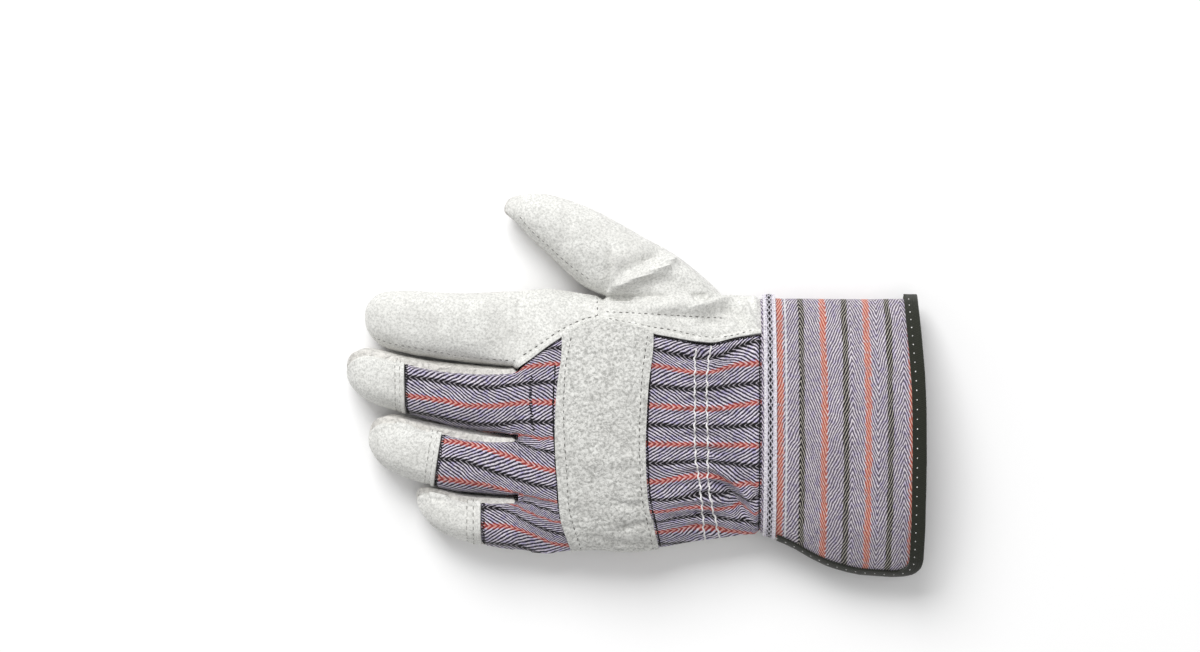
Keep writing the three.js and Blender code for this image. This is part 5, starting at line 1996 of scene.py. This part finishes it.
@dataclass
class PalmSide:
    """The rough leather of the palm, the fingers' undersides and the thumb's underside."""

    wall: float = LEATHER_WALL
    flats: dict[str, tuple[float, float, float]] = field(default_factory=lambda: {
        "palm": (0.130, 0.155, 0.0130), "palm_insert": (0.105, 0.105, 0.0083),
        "index_palm": (0.055, 0.105, 0.0037), "thumb_palm": (0.052, 0.082, 0.0032),
        "pulse_patch": (0.036, 0.067, 0.0021),
    })
    patch_thumb_side: Points = ((57.6, 9), (66, 13), (76, 19.5), (84, 19.5), (90, 14), (93.6, 5))
    patch_little_side: Points = ((57.6, -37), (66, -41), (76, -47.5), (84, -47.5), (90, -42), (93.6, -33))
    surfaces: dict[str, Surface] = field(default_factory=dict)

    def palm(self) -> Cage:
        """The palm with the little finger's underside."""
        cage = finger_patch(Cage(), "little", 8, 18, self.wall)
        hand_patch(cage, FORM.crotch_x, FORM.insert_x, columns_between(10, 16), FORM.palm_angle, self.wall)
        return hand_patch(cage, FORM.insert_x, FORM.wrist_x, columns_between(0, 16), FORM.palm_angle, self.wall)

    def insert(self) -> Cage:
        """The underside of the middle and ring fingers."""
        cage = finger_patch(Cage(), "middle", 8, 18, self.wall)
        finger_patch(cage, "ring", 8, 18, self.wall)
        return hand_patch(cage, FORM.crotch_x, FORM.insert_x, columns_between(0, 9), FORM.palm_angle, self.wall)

    def index(self) -> Cage:
        """The underside of the index finger."""
        cage = finger_patch(Cage(), "index", 8, 16, self.wall)
        return hand_patch(
            cage, FORM.crotch_x, FORM.index_end_x, columns_between(0, 6), FORM.index_palm_angle, self.wall)

    def thumb(self) -> Cage:
        """The underside of the thumb."""
        turns = turns_between(THUMB_TURNS, 2 * THUMB_TURNS)
        return Cage().patch(FORM.thumb(turns, 0.0), FORM.thumb(turns, self.wall))

    def patch(self) -> Cage:
        """The reinforcement under the pulse."""
        x = refined([station for station, _ in self.patch_thumb_side], REFINE)
        share = np.linspace(0, 1, 13)
        y = mix(along(self.patch_thumb_side, x)[:, None], along(self.patch_little_side, x)[:, None], share[None])
        place = x[:, None] + 0 * y
        lowest = FORM.floor(place) - 0.3
        outer = np.stack([place, y, lowest - self.wall], axis=-1)
        return Cage().patch(outer, np.stack([place, y, lowest], axis=-1))

    def build(self) -> None:
        """Builds and dresses the five pieces."""
        cages = {
            "palm": self.palm, "palm_insert": self.insert, "index_palm": self.index, "thumb_palm": self.thumb,
        }
        for name, cage in cages.items():
            piece, self.surfaces[name] = Panel(f"{name}_leather", cage(), self.wall, palm_seams).build()
            dress(piece, PALM_LEATHER, "palm_leather", name)
            self.declare(piece, name)
        patch, self.surfaces["pulse_patch"] = Panel(
            "pulse_patch_leather", self.patch(), self.wall - 0.1, plain_seams, relief=0.0).build()
        dress(patch, PALM_LEATHER, "palm_leather", "pulse_patch")
        self.declare(patch, "pulse_patch")

    def declare(self, piece: bpy.types.Object, name: str) -> None:
        """Reads the piece's flat width, length and area from the table, and does nothing more with them."""
        width, length, area = self.flats[name]


@dataclass
class LeatherBack:
    """The brushed leather of the index finger, the thumb, the gore and the finger tips."""

    wall: float = LEATHER_WALL
    flats: dict[str, tuple[float, float, float]] = field(default_factory=lambda: {
        "index_back": (0.055, 0.112, 0.0041), "thumb_back": (0.078, 0.132, 0.0051),
        "middle_tip": (0.034, 0.032, 0.00083), "ring_tip": (0.034, 0.036, 0.00101),
        "little_tip": (0.031, 0.034, 0.00076),
    })
    surfaces: dict[str, Surface] = field(default_factory=dict)

    def index(self) -> Cage:
        """The back of the index finger down to the star seam."""
        cage = finger_patch(Cage(), "index", 0, 8, self.wall)
        return hand_patch(cage, FORM.crotch_x, FORM.star_x, columns_between(0, 6), FORM.leather_angle, self.wall)

    def thumb(self) -> Cage:
        """The back of the thumb with the gore down to the wrist."""
        turns = turns_between(0, THUMB_TURNS)
        cage = Cage().patch(FORM.thumb(turns, 0.0), FORM.thumb(turns, self.wall))
        return hand_patch(cage, FORM.star_x, FORM.wrist_x, columns_between(0, 6), FORM.leather_angle, self.wall)

    def build(self) -> None:
        """Builds and dresses the five pieces."""
        for name, cage in {"index_back": self.index, "thumb_back": self.thumb}.items():
            self.make(name, cage(), leather_seams)
        for finger, cap in CAP_X.items():
            cage = finger_patch(Cage(), finger, 2, 8, self.wall, start=cap)
            self.make(f"{finger}_tip", cage, cap_seams)

    def make(self, name: str, cage: Cage, seams: Callable[[np.ndarray], list[Seam]]) -> None:
        """Builds one piece and dresses it; it also reads the piece's flat width, length and area, which are not
        used.
        """
        piece, self.surfaces[name] = Panel(f"{name}_leather", cage, self.wall, seams).build()
        dress(piece, BACK_LEATHER, "leather", name)
        width, length, area = self.flats[name]


@dataclass
class ClothBack:
    """The striped back of the hand and the leather strap sewn across its knuckles."""

    wall: float = CLOTH_WALL
    strap_wall: float = LEATHER_WALL
    strap_lift: float = 1.9
    strap_finger_edge: Points = (
        (-73, -28), (-56, -32.8), (-38, -34.2), (-18, -35.4), (-4, -35.4), (9, -34.6), (21, -32.4),
    )
    strap_wrist_edge: Points = ((-73, 11.3), (-60, 8.5), (-50, 6.3), (-25, 5), (-10, 5.4), (6, 6.4), (22, 8.5))
    surfaces: dict[str, Surface] = field(default_factory=dict)

    def cloth(self) -> Cage:
        """The cloth from the wrist to the finger tips."""
        cage = Cage()
        for name, cap in CAP_X.items():
            finger_patch(cage, name, 2, 8, self.wall, end=cap, striped=True)
        return hand_patch(
            cage, FORM.crotch_x, FORM.wrist_x, columns_between(0, 16), FORM.cloth_angle, self.wall, striped=True)

    def strap(self) -> Cage:
        """The strap, made from the cloth's points, moved out."""
        columns = columns_between(0, 15)
        y = FORM.body(FORM.star_x, FORM.cloth_angle(FORM.star_x, columns), 0.0)[:, 1]
        share = np.linspace(0, 1, 6 * REFINE + 1)[:, None]
        x = mix(along(self.strap_finger_edge, y)[None], along(self.strap_wrist_edge, y)[None], share)
        angle = FORM.cloth_angle(x, columns[None] + 0 * x)
        return Cage().patch(FORM.body(x, angle, -self.strap_lift), FORM.body(x, angle, -0.3))

    def build(self) -> None:
        """Builds and dresses both pieces."""
        cloth, self.surfaces["hand_back"] = Panel(
            "back_cloth", self.cloth(), self.wall, cloth_seams, gathered=True).build()
        dress(cloth, BACK_CLOTH, "striped_cloth", "hand_back")
        strap, self.surfaces["strap"] = Panel(
            "knuckle_strap_leather", self.strap(), self.strap_wall, plain_seams, lift=self.strap_lift).build()
        dress(strap, STRAP_LEATHER, "leather", "knuckle_strap")


@dataclass
class CuffSide:
    """The stiff striped cuff with its tape and its binding."""

    form: CuffForm = field(default_factory=lambda: CUFF)
    surfaces: dict[str, Surface] = field(default_factory=dict)

    def cloth(self) -> Cage:
        """The cuff round from the slit to the slit."""
        form = self.form
        distances = form.distances()
        slit_end = float(form.mouth(0.0))
        rows = refined([*form.slit_x, slit_end], REFINE)
        share = (rows - FORM.wrist_x) / (slit_end - FORM.wrist_x)
        mouth = form.mouth(distances)
        x = FORM.wrist_x + share[:, None] * (mouth - FORM.wrist_x)[None]
        around = distances[None] + 0 * x
        outer, inner = form.points(around, x, 0.0), form.points(around, x, form.wall)
        return Cage().patch(outer, inner, np.stack([around, x], axis=-1))

    def tape(self) -> Cage:
        """The tape over the wrist seam, on the back only."""
        form = self.form
        thumb_side = float(np.interp(0.05, form.angles[::-1], form.lengths[::-1]))
        distances = form.distances()
        distances = distances[distances < thumb_side]
        x = np.linspace(*form.tape_x, 5)[:, None] + 0 * distances[None]
        around = distances[None] + 0 * x
        outer = form.points(around, x, -form.seam - form.trim)
        return Cage().patch(outer, form.points(around, x, -form.seam), np.stack([around, x], axis=-1))

    def binding_rings(self) -> tuple[np.ndarray, np.ndarray]:
        """Rings of the folded binding and the distance along it, in millimetres."""
        form = self.form
        out, inside = -form.seam - form.trim, form.wall + form.seam + form.trim
        insets = refined([form.corner_distance(3), form.corner_distance(2), out], 2)
        inner_insets = refined([form.corner_distance(3), form.corner_distance(2), -form.seam], 2)
        profile = [(inset, out) for inset in insets[:-1]]
        middle, reach = (out + inside) / 2, (inside - out) / 2
        for turn in np.linspace(-math.pi / 2, math.pi / 2, 7):
            bulge = out + form.fold_round - form.fold_round * math.cos(turn)
            profile.append((bulge, middle + reach * math.sin(turn)))
        profile += [(inset, inside) for inset in insets[:-1][::-1]]
        profile += [(inset, form.wall + form.seam) for inset in inner_insets]
        profile += [(inset, -form.seam) for inset in inner_insets[::-1]]
        path = form.binding_path()
        rings = np.empty((len(path), len(profile), 3))
        for j, (inset, depth) in enumerate(profile):
            around, x, in_round, in_x = path.T
            end = form.points(around, x, depth)
            further = form.points(np.clip(around + 0.5 * in_round, 0, form.length), x + 0.5 * in_x, depth)
            inward = further - end
            inward /= np.linalg.norm(inward, axis=1, keepdims=True)
            if inset <= 0:
                rings[:, j] = end + inward * inset
            else:
                rings[:, j] = form.points(around + inset * in_round, x + inset * in_x, depth)
        middle_line = rings[:, len(insets)]
        lengths = np.concatenate([[0.0], np.cumsum(np.linalg.norm(np.diff(middle_line, axis=0), axis=1))])
        return rings, lengths

    def binding(self) -> tuple[bpy.types.Object, Surface]:
        """The binding folded over the edge, as one swept solid."""
        form = self.form
        rings, lengths = self.binding_rings()
        count = rings.shape[1]
        points = rings.reshape(-1, 3)
        puff = np.array([noise.noise(Vector(point) / form.puff_size) for point in points])
        centre = np.repeat(rings.mean(axis=1), count, axis=0)
        out = points - centre
        out /= np.maximum(np.linalg.norm(out, axis=1, keepdims=True), 1e-9)
        points = points + out * (form.puff * puff)[:, None]
        points[:, 2] = np.maximum(points[:, 2], 0.0)
        faces = []
        for i in range(len(rings) - 1):
            for j in range(count):
                a, b = i * count + j, i * count + (j + 1) % count
                faces.append([a, b, b + count, a + count])
        last = (len(rings) - 1) * count
        faces.append(list(range(count))[::-1])
        faces.append([last + k for k in range(count)])
        girth = np.linspace(0, form.binding_girth, count)
        flat = np.column_stack([np.repeat(lengths, count), np.tile(girth, len(rings))])
        made = cloth_piece("cuff_binding_cloth", points, faces, flat, SHARP_FOLD)
        face_normals_out(made)
        return made, Surface(points, faces)

    def build(self) -> None:
        """Builds and dresses the three pieces."""
        cloth, self.surfaces["cuff"] = Panel(
            "cuff_cloth_panel", self.cloth(), self.form.wall, plain_seams).build()
        dress(cloth, CUFF_CLOTH, "cuff_cloth", "cuff")
        tape, self.surfaces["tape"] = Panel(
            "cuff_tape_cloth", self.tape(), self.form.trim, plain_seams, lift=1.3).build()
        dress(tape, SEAM_TAPE, "tape", "cuff_tape")
        binding, self.surfaces["binding"] = self.binding()
        dress(binding, BINDING_CLOTH, "binding", "cuff_binding")


def face_normals_out(piece: bpy.types.Object) -> None:
    """Turns the faces of a closed mesh outwards."""
    volume = 0.0
    mesh = piece.data
    for face in mesh.polygons:
        corners = [mesh.vertices[k].co for k in face.vertices]
        for k in range(1, len(corners) - 1):
            volume += corners[0].dot(corners[k].cross(corners[k + 1]))
    if volume < 0:
        mesh.flip_normals()


@dataclass
class Stitching:
    """Every line of sewing that shows, as plan lines laid on the finished surfaces."""

    palm: PalmSide
    leather: LeatherBack
    back: ClothBack
    cuff: CuffSide
    gore_lower: Points = (
        (-10.5, 30.2), (-2, 28.6), (8, 26.6), (17.4, 25.2), (29.9, 22.4), (41.8, 22.4), (52, 25),
    )
    gore_upper: Points = ((-11.7, 33.4), (4, 32.6), (20, 31.6), (39, 30.6))
    index_diagonal: Points = ((-49, 14.4), (-42, 19), (-33, 25.2), (-24, 29.6), (-17, 31.6))
    index_side: Points = ((-117, 21.6), (-108, 18.8), (-96, 16.8), (-80, 13.8), (-66, 12.2), (-54, 11.4))
    thumb_crotch: Points = ((-21, 48.6), (-30, 55.2), (-38.5, 63), (-46.4, 70), (-51, 75.6))
    star: Points = ((-16.6, 39.5), (-16.4, 31.8))
    middle_strip: Points = ((-101, 11.4), (-85, 8.7), (-69, 7.4), (-60, 6.6))
    middle_joint: Points = ((-46, 4.4), (-46.4, -4), (-46, -12), (-45.2, -19.4))
    elastic: tuple[Points, ...] = (
        ((27.6, 16.5), (27.1, 12), (27, -8), (27.2, -30), (29.2, -43), (31.6, -67), (32, -70)),
        ((34.4, 19), (33.2, 11), (32.5, 5), (32.4, -10), (32.8, -25), (33.4, -46), (38.2, -67), (38.6, -69)),
    )
    palm_index: Points = ((-48, 16.6), (-44, 20), (-37.6, 25.6), (-30.6, 34))
    palm_base: Points = ((-36.6, 18), (-36.8, 0), (-36.7, -20), (-36.8, -48))
    patch: Points = (
        (59, 6), (67, 9.2), (76, 14.8), (82.6, 14.6), (87, 9.6), (89.2, 2), (89.2, -30), (87, -38),
        (82.6, -42.6), (76, -42.8), (67, -37.2), (59, -34),
    )
    dot_inset: float = 3.0

    def cap_line(self, name: str, beyond: float) -> np.ndarray:
        """A plan line across a finger, beyond the edge of its tip cap."""
        finger = FINGERS[name]
        turns = np.linspace(math.pi * 0.27, math.pi * 0.98, 30)
        stations = np.array([CAP_X[name] - beyond])
        return FORM.finger(name, stations, turns, 0.0)[0]

    def top(self, points: Points, surface: Surface, sink: float = 0.12) -> Path:
        """A line laid on a surface from above."""
        return Path.dropped(plan_line(points), surface, sink=sink)

    def build(self) -> None:
        """Sews everything."""
        leather, back, cuff, palm = (part.surfaces for part in (self.leather, self.back, self.cuff, self.palm))
        thumb, index = leather["thumb_back"], leather["index_back"]
        cloth, strap = back["hand_back"], back["strap"]
        dark = Sewing("leather_stitches_dark", Stitch.DARK_SEAM, DIM_THREAD)
        dark.lay(self.top(self.gore_lower, thumb), self.top(self.gore_upper, thumb))
        dark.lay(self.top(self.index_diagonal, index), self.top(self.index_side, index))
        dark.lay(self.top(self.star, index), self.top(self.thumb_crotch, thumb))
        pale = Sewing("leather_stitches_pale", Stitch.SEAM, GREY_THREAD)
        finger_edge = [(x + 4.0, y) for y, x in self.back.strap_finger_edge]
        wrist_edge = [(x - 2.8, y) for y, x in self.back.strap_wrist_edge]
        for edge in (finger_edge, wrist_edge):
            dark.lay(self.top(edge, strap))
        overlock = Sewing("overlock_stitches", Stitch.OVERLOCK, BLACK_THREAD)
        for name in CAP_X:
            for beyond in (2.1, 4.3):
                line = self.cap_line(name, beyond)
                out = np.tile([0.0, 0.0, 1.0], (len(line), 1))
                pale.lay(Path.nearest(line, leather[f"{name}_tip"], out, sink=0.1))
            # Just beyond each tip cap's edge, the black overlock line on the cloth is partly real overlocking and
            # partly a painted shadow under the cap's lapped edge.
            line = self.cap_line(name, -0.55)
            overlock.lay(Path.nearest(line, cloth, np.tile([0.0, 0.0, 1.0], (len(line), 1)), sink=0.05))
        overlock.lay(self.top(self.middle_joint, cloth, 0.05))
        # The black hem lines on the cloth beside the strap's two edges, below the leather's back edge and at x
        # 56.1 by the cuff are partly a real hem and partly a painted shadow, where the cloth lies in shade beside
        # these edges.
        hem = Sewing("cloth_hem_and_edge_shadow_stitches", Stitch.HEM, BLACK_THREAD)
        hem.lay(self.top([(x - 0.7, y) for y, x in self.back.strap_finger_edge if y < 12], cloth, 0.1))
        hem.lay(self.top([(x + 0.8, y) for y, x in self.back.strap_wrist_edge if y < 21], cloth, 0.1))
        hem.lay(self.top([(x, y - 0.9) for x, y in FORM.back_edge if x > -50], cloth, 0.1))
        hem.lay(self.top([(56.1, y) for y in (21.5, 0, -30, -60, -66)], cloth, 0.05))
        pale.lay(self.top(self.middle_strip, cloth))
        under = Sewing("palm_stitches", Stitch.SEAM, GREY_THREAD)
        under.lay(Path.dropped(plan_line(self.palm_base), palm["palm"], from_below=True, sink=0.15))
        under.lay(Path.dropped(plan_line(self.palm_index), palm["index_palm"], from_below=True, sink=0.15))
        patch = Sewing("pulse_patch_stitches", Stitch.DARK_SEAM, BLACK_THREAD)
        patch.lay(Path.dropped(plan_line(self.patch), palm["pulse_patch"], from_below=True, sink=0.35))
        elastic = Sewing("elastic_threads", None, WHITE_THREAD, radius=0.42)
        for row in self.elastic:
            line = plan_line(row, 0.5)
            line[:, 0] += 0.24 * np.sin(1.9 * line[:, 1]) + 0.2 * np.sin(0.83 * line[:, 1] + 1.0)
            elastic.lay(Path.dropped(line, cloth, sink=-0.05))
        tape = Sewing("tape_stitches", Stitch.TAPE_EDGE, WHITE_THREAD)
        form = self.cuff.form
        around = np.linspace(2.0, float(np.interp(0.05, form.angles[::-1], form.lengths[::-1])) - 1.0, 120)
        for x in (form.tape_x[0] + 0.5, form.tape_x[1] - 0.5):
            line, inner = form.points(around, x, -1.3), form.points(around, x, 0.0)
            tape.lay(Path.nearest(line, cuff["tape"], line - inner, sink=0.1))
        dots = Sewing("binding_stitches", Stitch.BINDING_DOT, WHITE_THREAD)
        path = form.binding_path().T
        distance, x = path[0] + self.dot_inset * path[2], path[1] + self.dot_inset * path[3]
        for depth, start in ((-1.3, 0.0), (2.9, 1.6)):
            line, middle = form.points(distance, x, depth), form.points(distance, x, start)
            dots.lay(Path.nearest(line, cuff["binding"], line - middle, sink=0.08))
        for sewing in (dark, pale, overlock, hem, under, patch, elastic, tape, dots):
            sewn = sewing.build()
            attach(sewn, "root")
            LOG.info("%s: %d faces", sewn.name, len(sewn.data.polygons))


# ---- stage ----


@dataclass(frozen=True)
class Stage:
    """A pale floor, soft lights and the camera."""

    eye: tuple[float, float, float] = (-0.0153, 0.027, 1.52)
    lens: float = 100.0
    floor_shade: float = 0.95
    floor_size: float = 12.0
    floor_drop: float = 0.0002
    sky: float = 0.44
    key_place: tuple[float, float, float] = (-0.8, 2.15, 2.1)
    key_power: float = 88.0
    key_size: float = 1.9
    fill_place: tuple[float, float, float] = (0.3, -0.2, 1.4)
    fill_power: float = 3.2
    fill_size: float = 1.4

    def floor(self) -> None:
        """The floor."""
        half = self.floor_size / 2
        mesh = bpy.data.meshes.new("floor")
        corners = [(-half, -half), (half, -half), (half, half), (-half, half)]
        mesh.from_pydata([(x, y, -self.floor_drop) for x, y in corners], [], [(0, 1, 2, 3)])
        floor = linked("floor", mesh)
        made = bpy.data.materials.new("floor")
        made.use_nodes = True
        shader = made.node_tree.nodes["Principled BSDF"]
        shader.inputs["Base Color"].default_value = (self.floor_shade, self.floor_shade, self.floor_shade, 1.0)
        shader.inputs["Roughness"].default_value = 1.0
        shader.inputs["Specular IOR Level"].default_value = 0.0
        mesh.materials.append(made)
        floor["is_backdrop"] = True

    def lamp(self, name: str, place: tuple[float, float, float], power: float, size: float) -> None:
        """One soft square lamp that looks at the glove."""
        light = bpy.data.lights.new(name, "AREA")
        light.energy, light.size = power, size
        lamp = linked(name, light)
        lamp.location = place
        lamp.rotation_euler = (-Vector(place)).to_track_quat("-Z", "Y").to_euler()

    def build(self) -> None:
        """Sets the floor, the sky, the lamps, the camera and the tones."""
        self.floor()
        scene = bpy.context.scene
        world = bpy.data.worlds.new("studio")
        world.use_nodes = True
        world.node_tree.nodes["Background"].inputs["Color"].default_value = (1.0, 1.0, 1.0, 1.0)
        world.node_tree.nodes["Background"].inputs["Strength"].default_value = self.sky
        scene.world = world
        self.lamp("key", self.key_place, self.key_power, self.key_size)
        self.lamp("fill", self.fill_place, self.fill_power, self.fill_size)
        lens = bpy.data.cameras.new("camera")
        lens.lens = self.lens
        camera = linked("camera", lens)
        camera.location = self.eye
        scene.camera = camera
        scene.view_settings.view_transform = "Standard"


def corners(box: Sequence[Vector]) -> list[list[float]]:
    """A box's two corners as plain lists."""
    return [list(corner) for corner in box]


def main() -> None:
    """Builds the glove on its frame."""
    logging.basicConfig(level=logging.INFO, format="%(name)s %(message)s")
    Stage().build()
    palm, leather, back, cuff = PalmSide(), LeatherBack(), ClothBack(), CuffSide()
    for part in (cuff, palm, leather, back):
        part.build()
    Stitching(palm, leather, back, cuff).build()
    {"cad": corners(CAD_BOX), "visual": corners(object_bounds())}


if __name__ == "__main__":
    main()
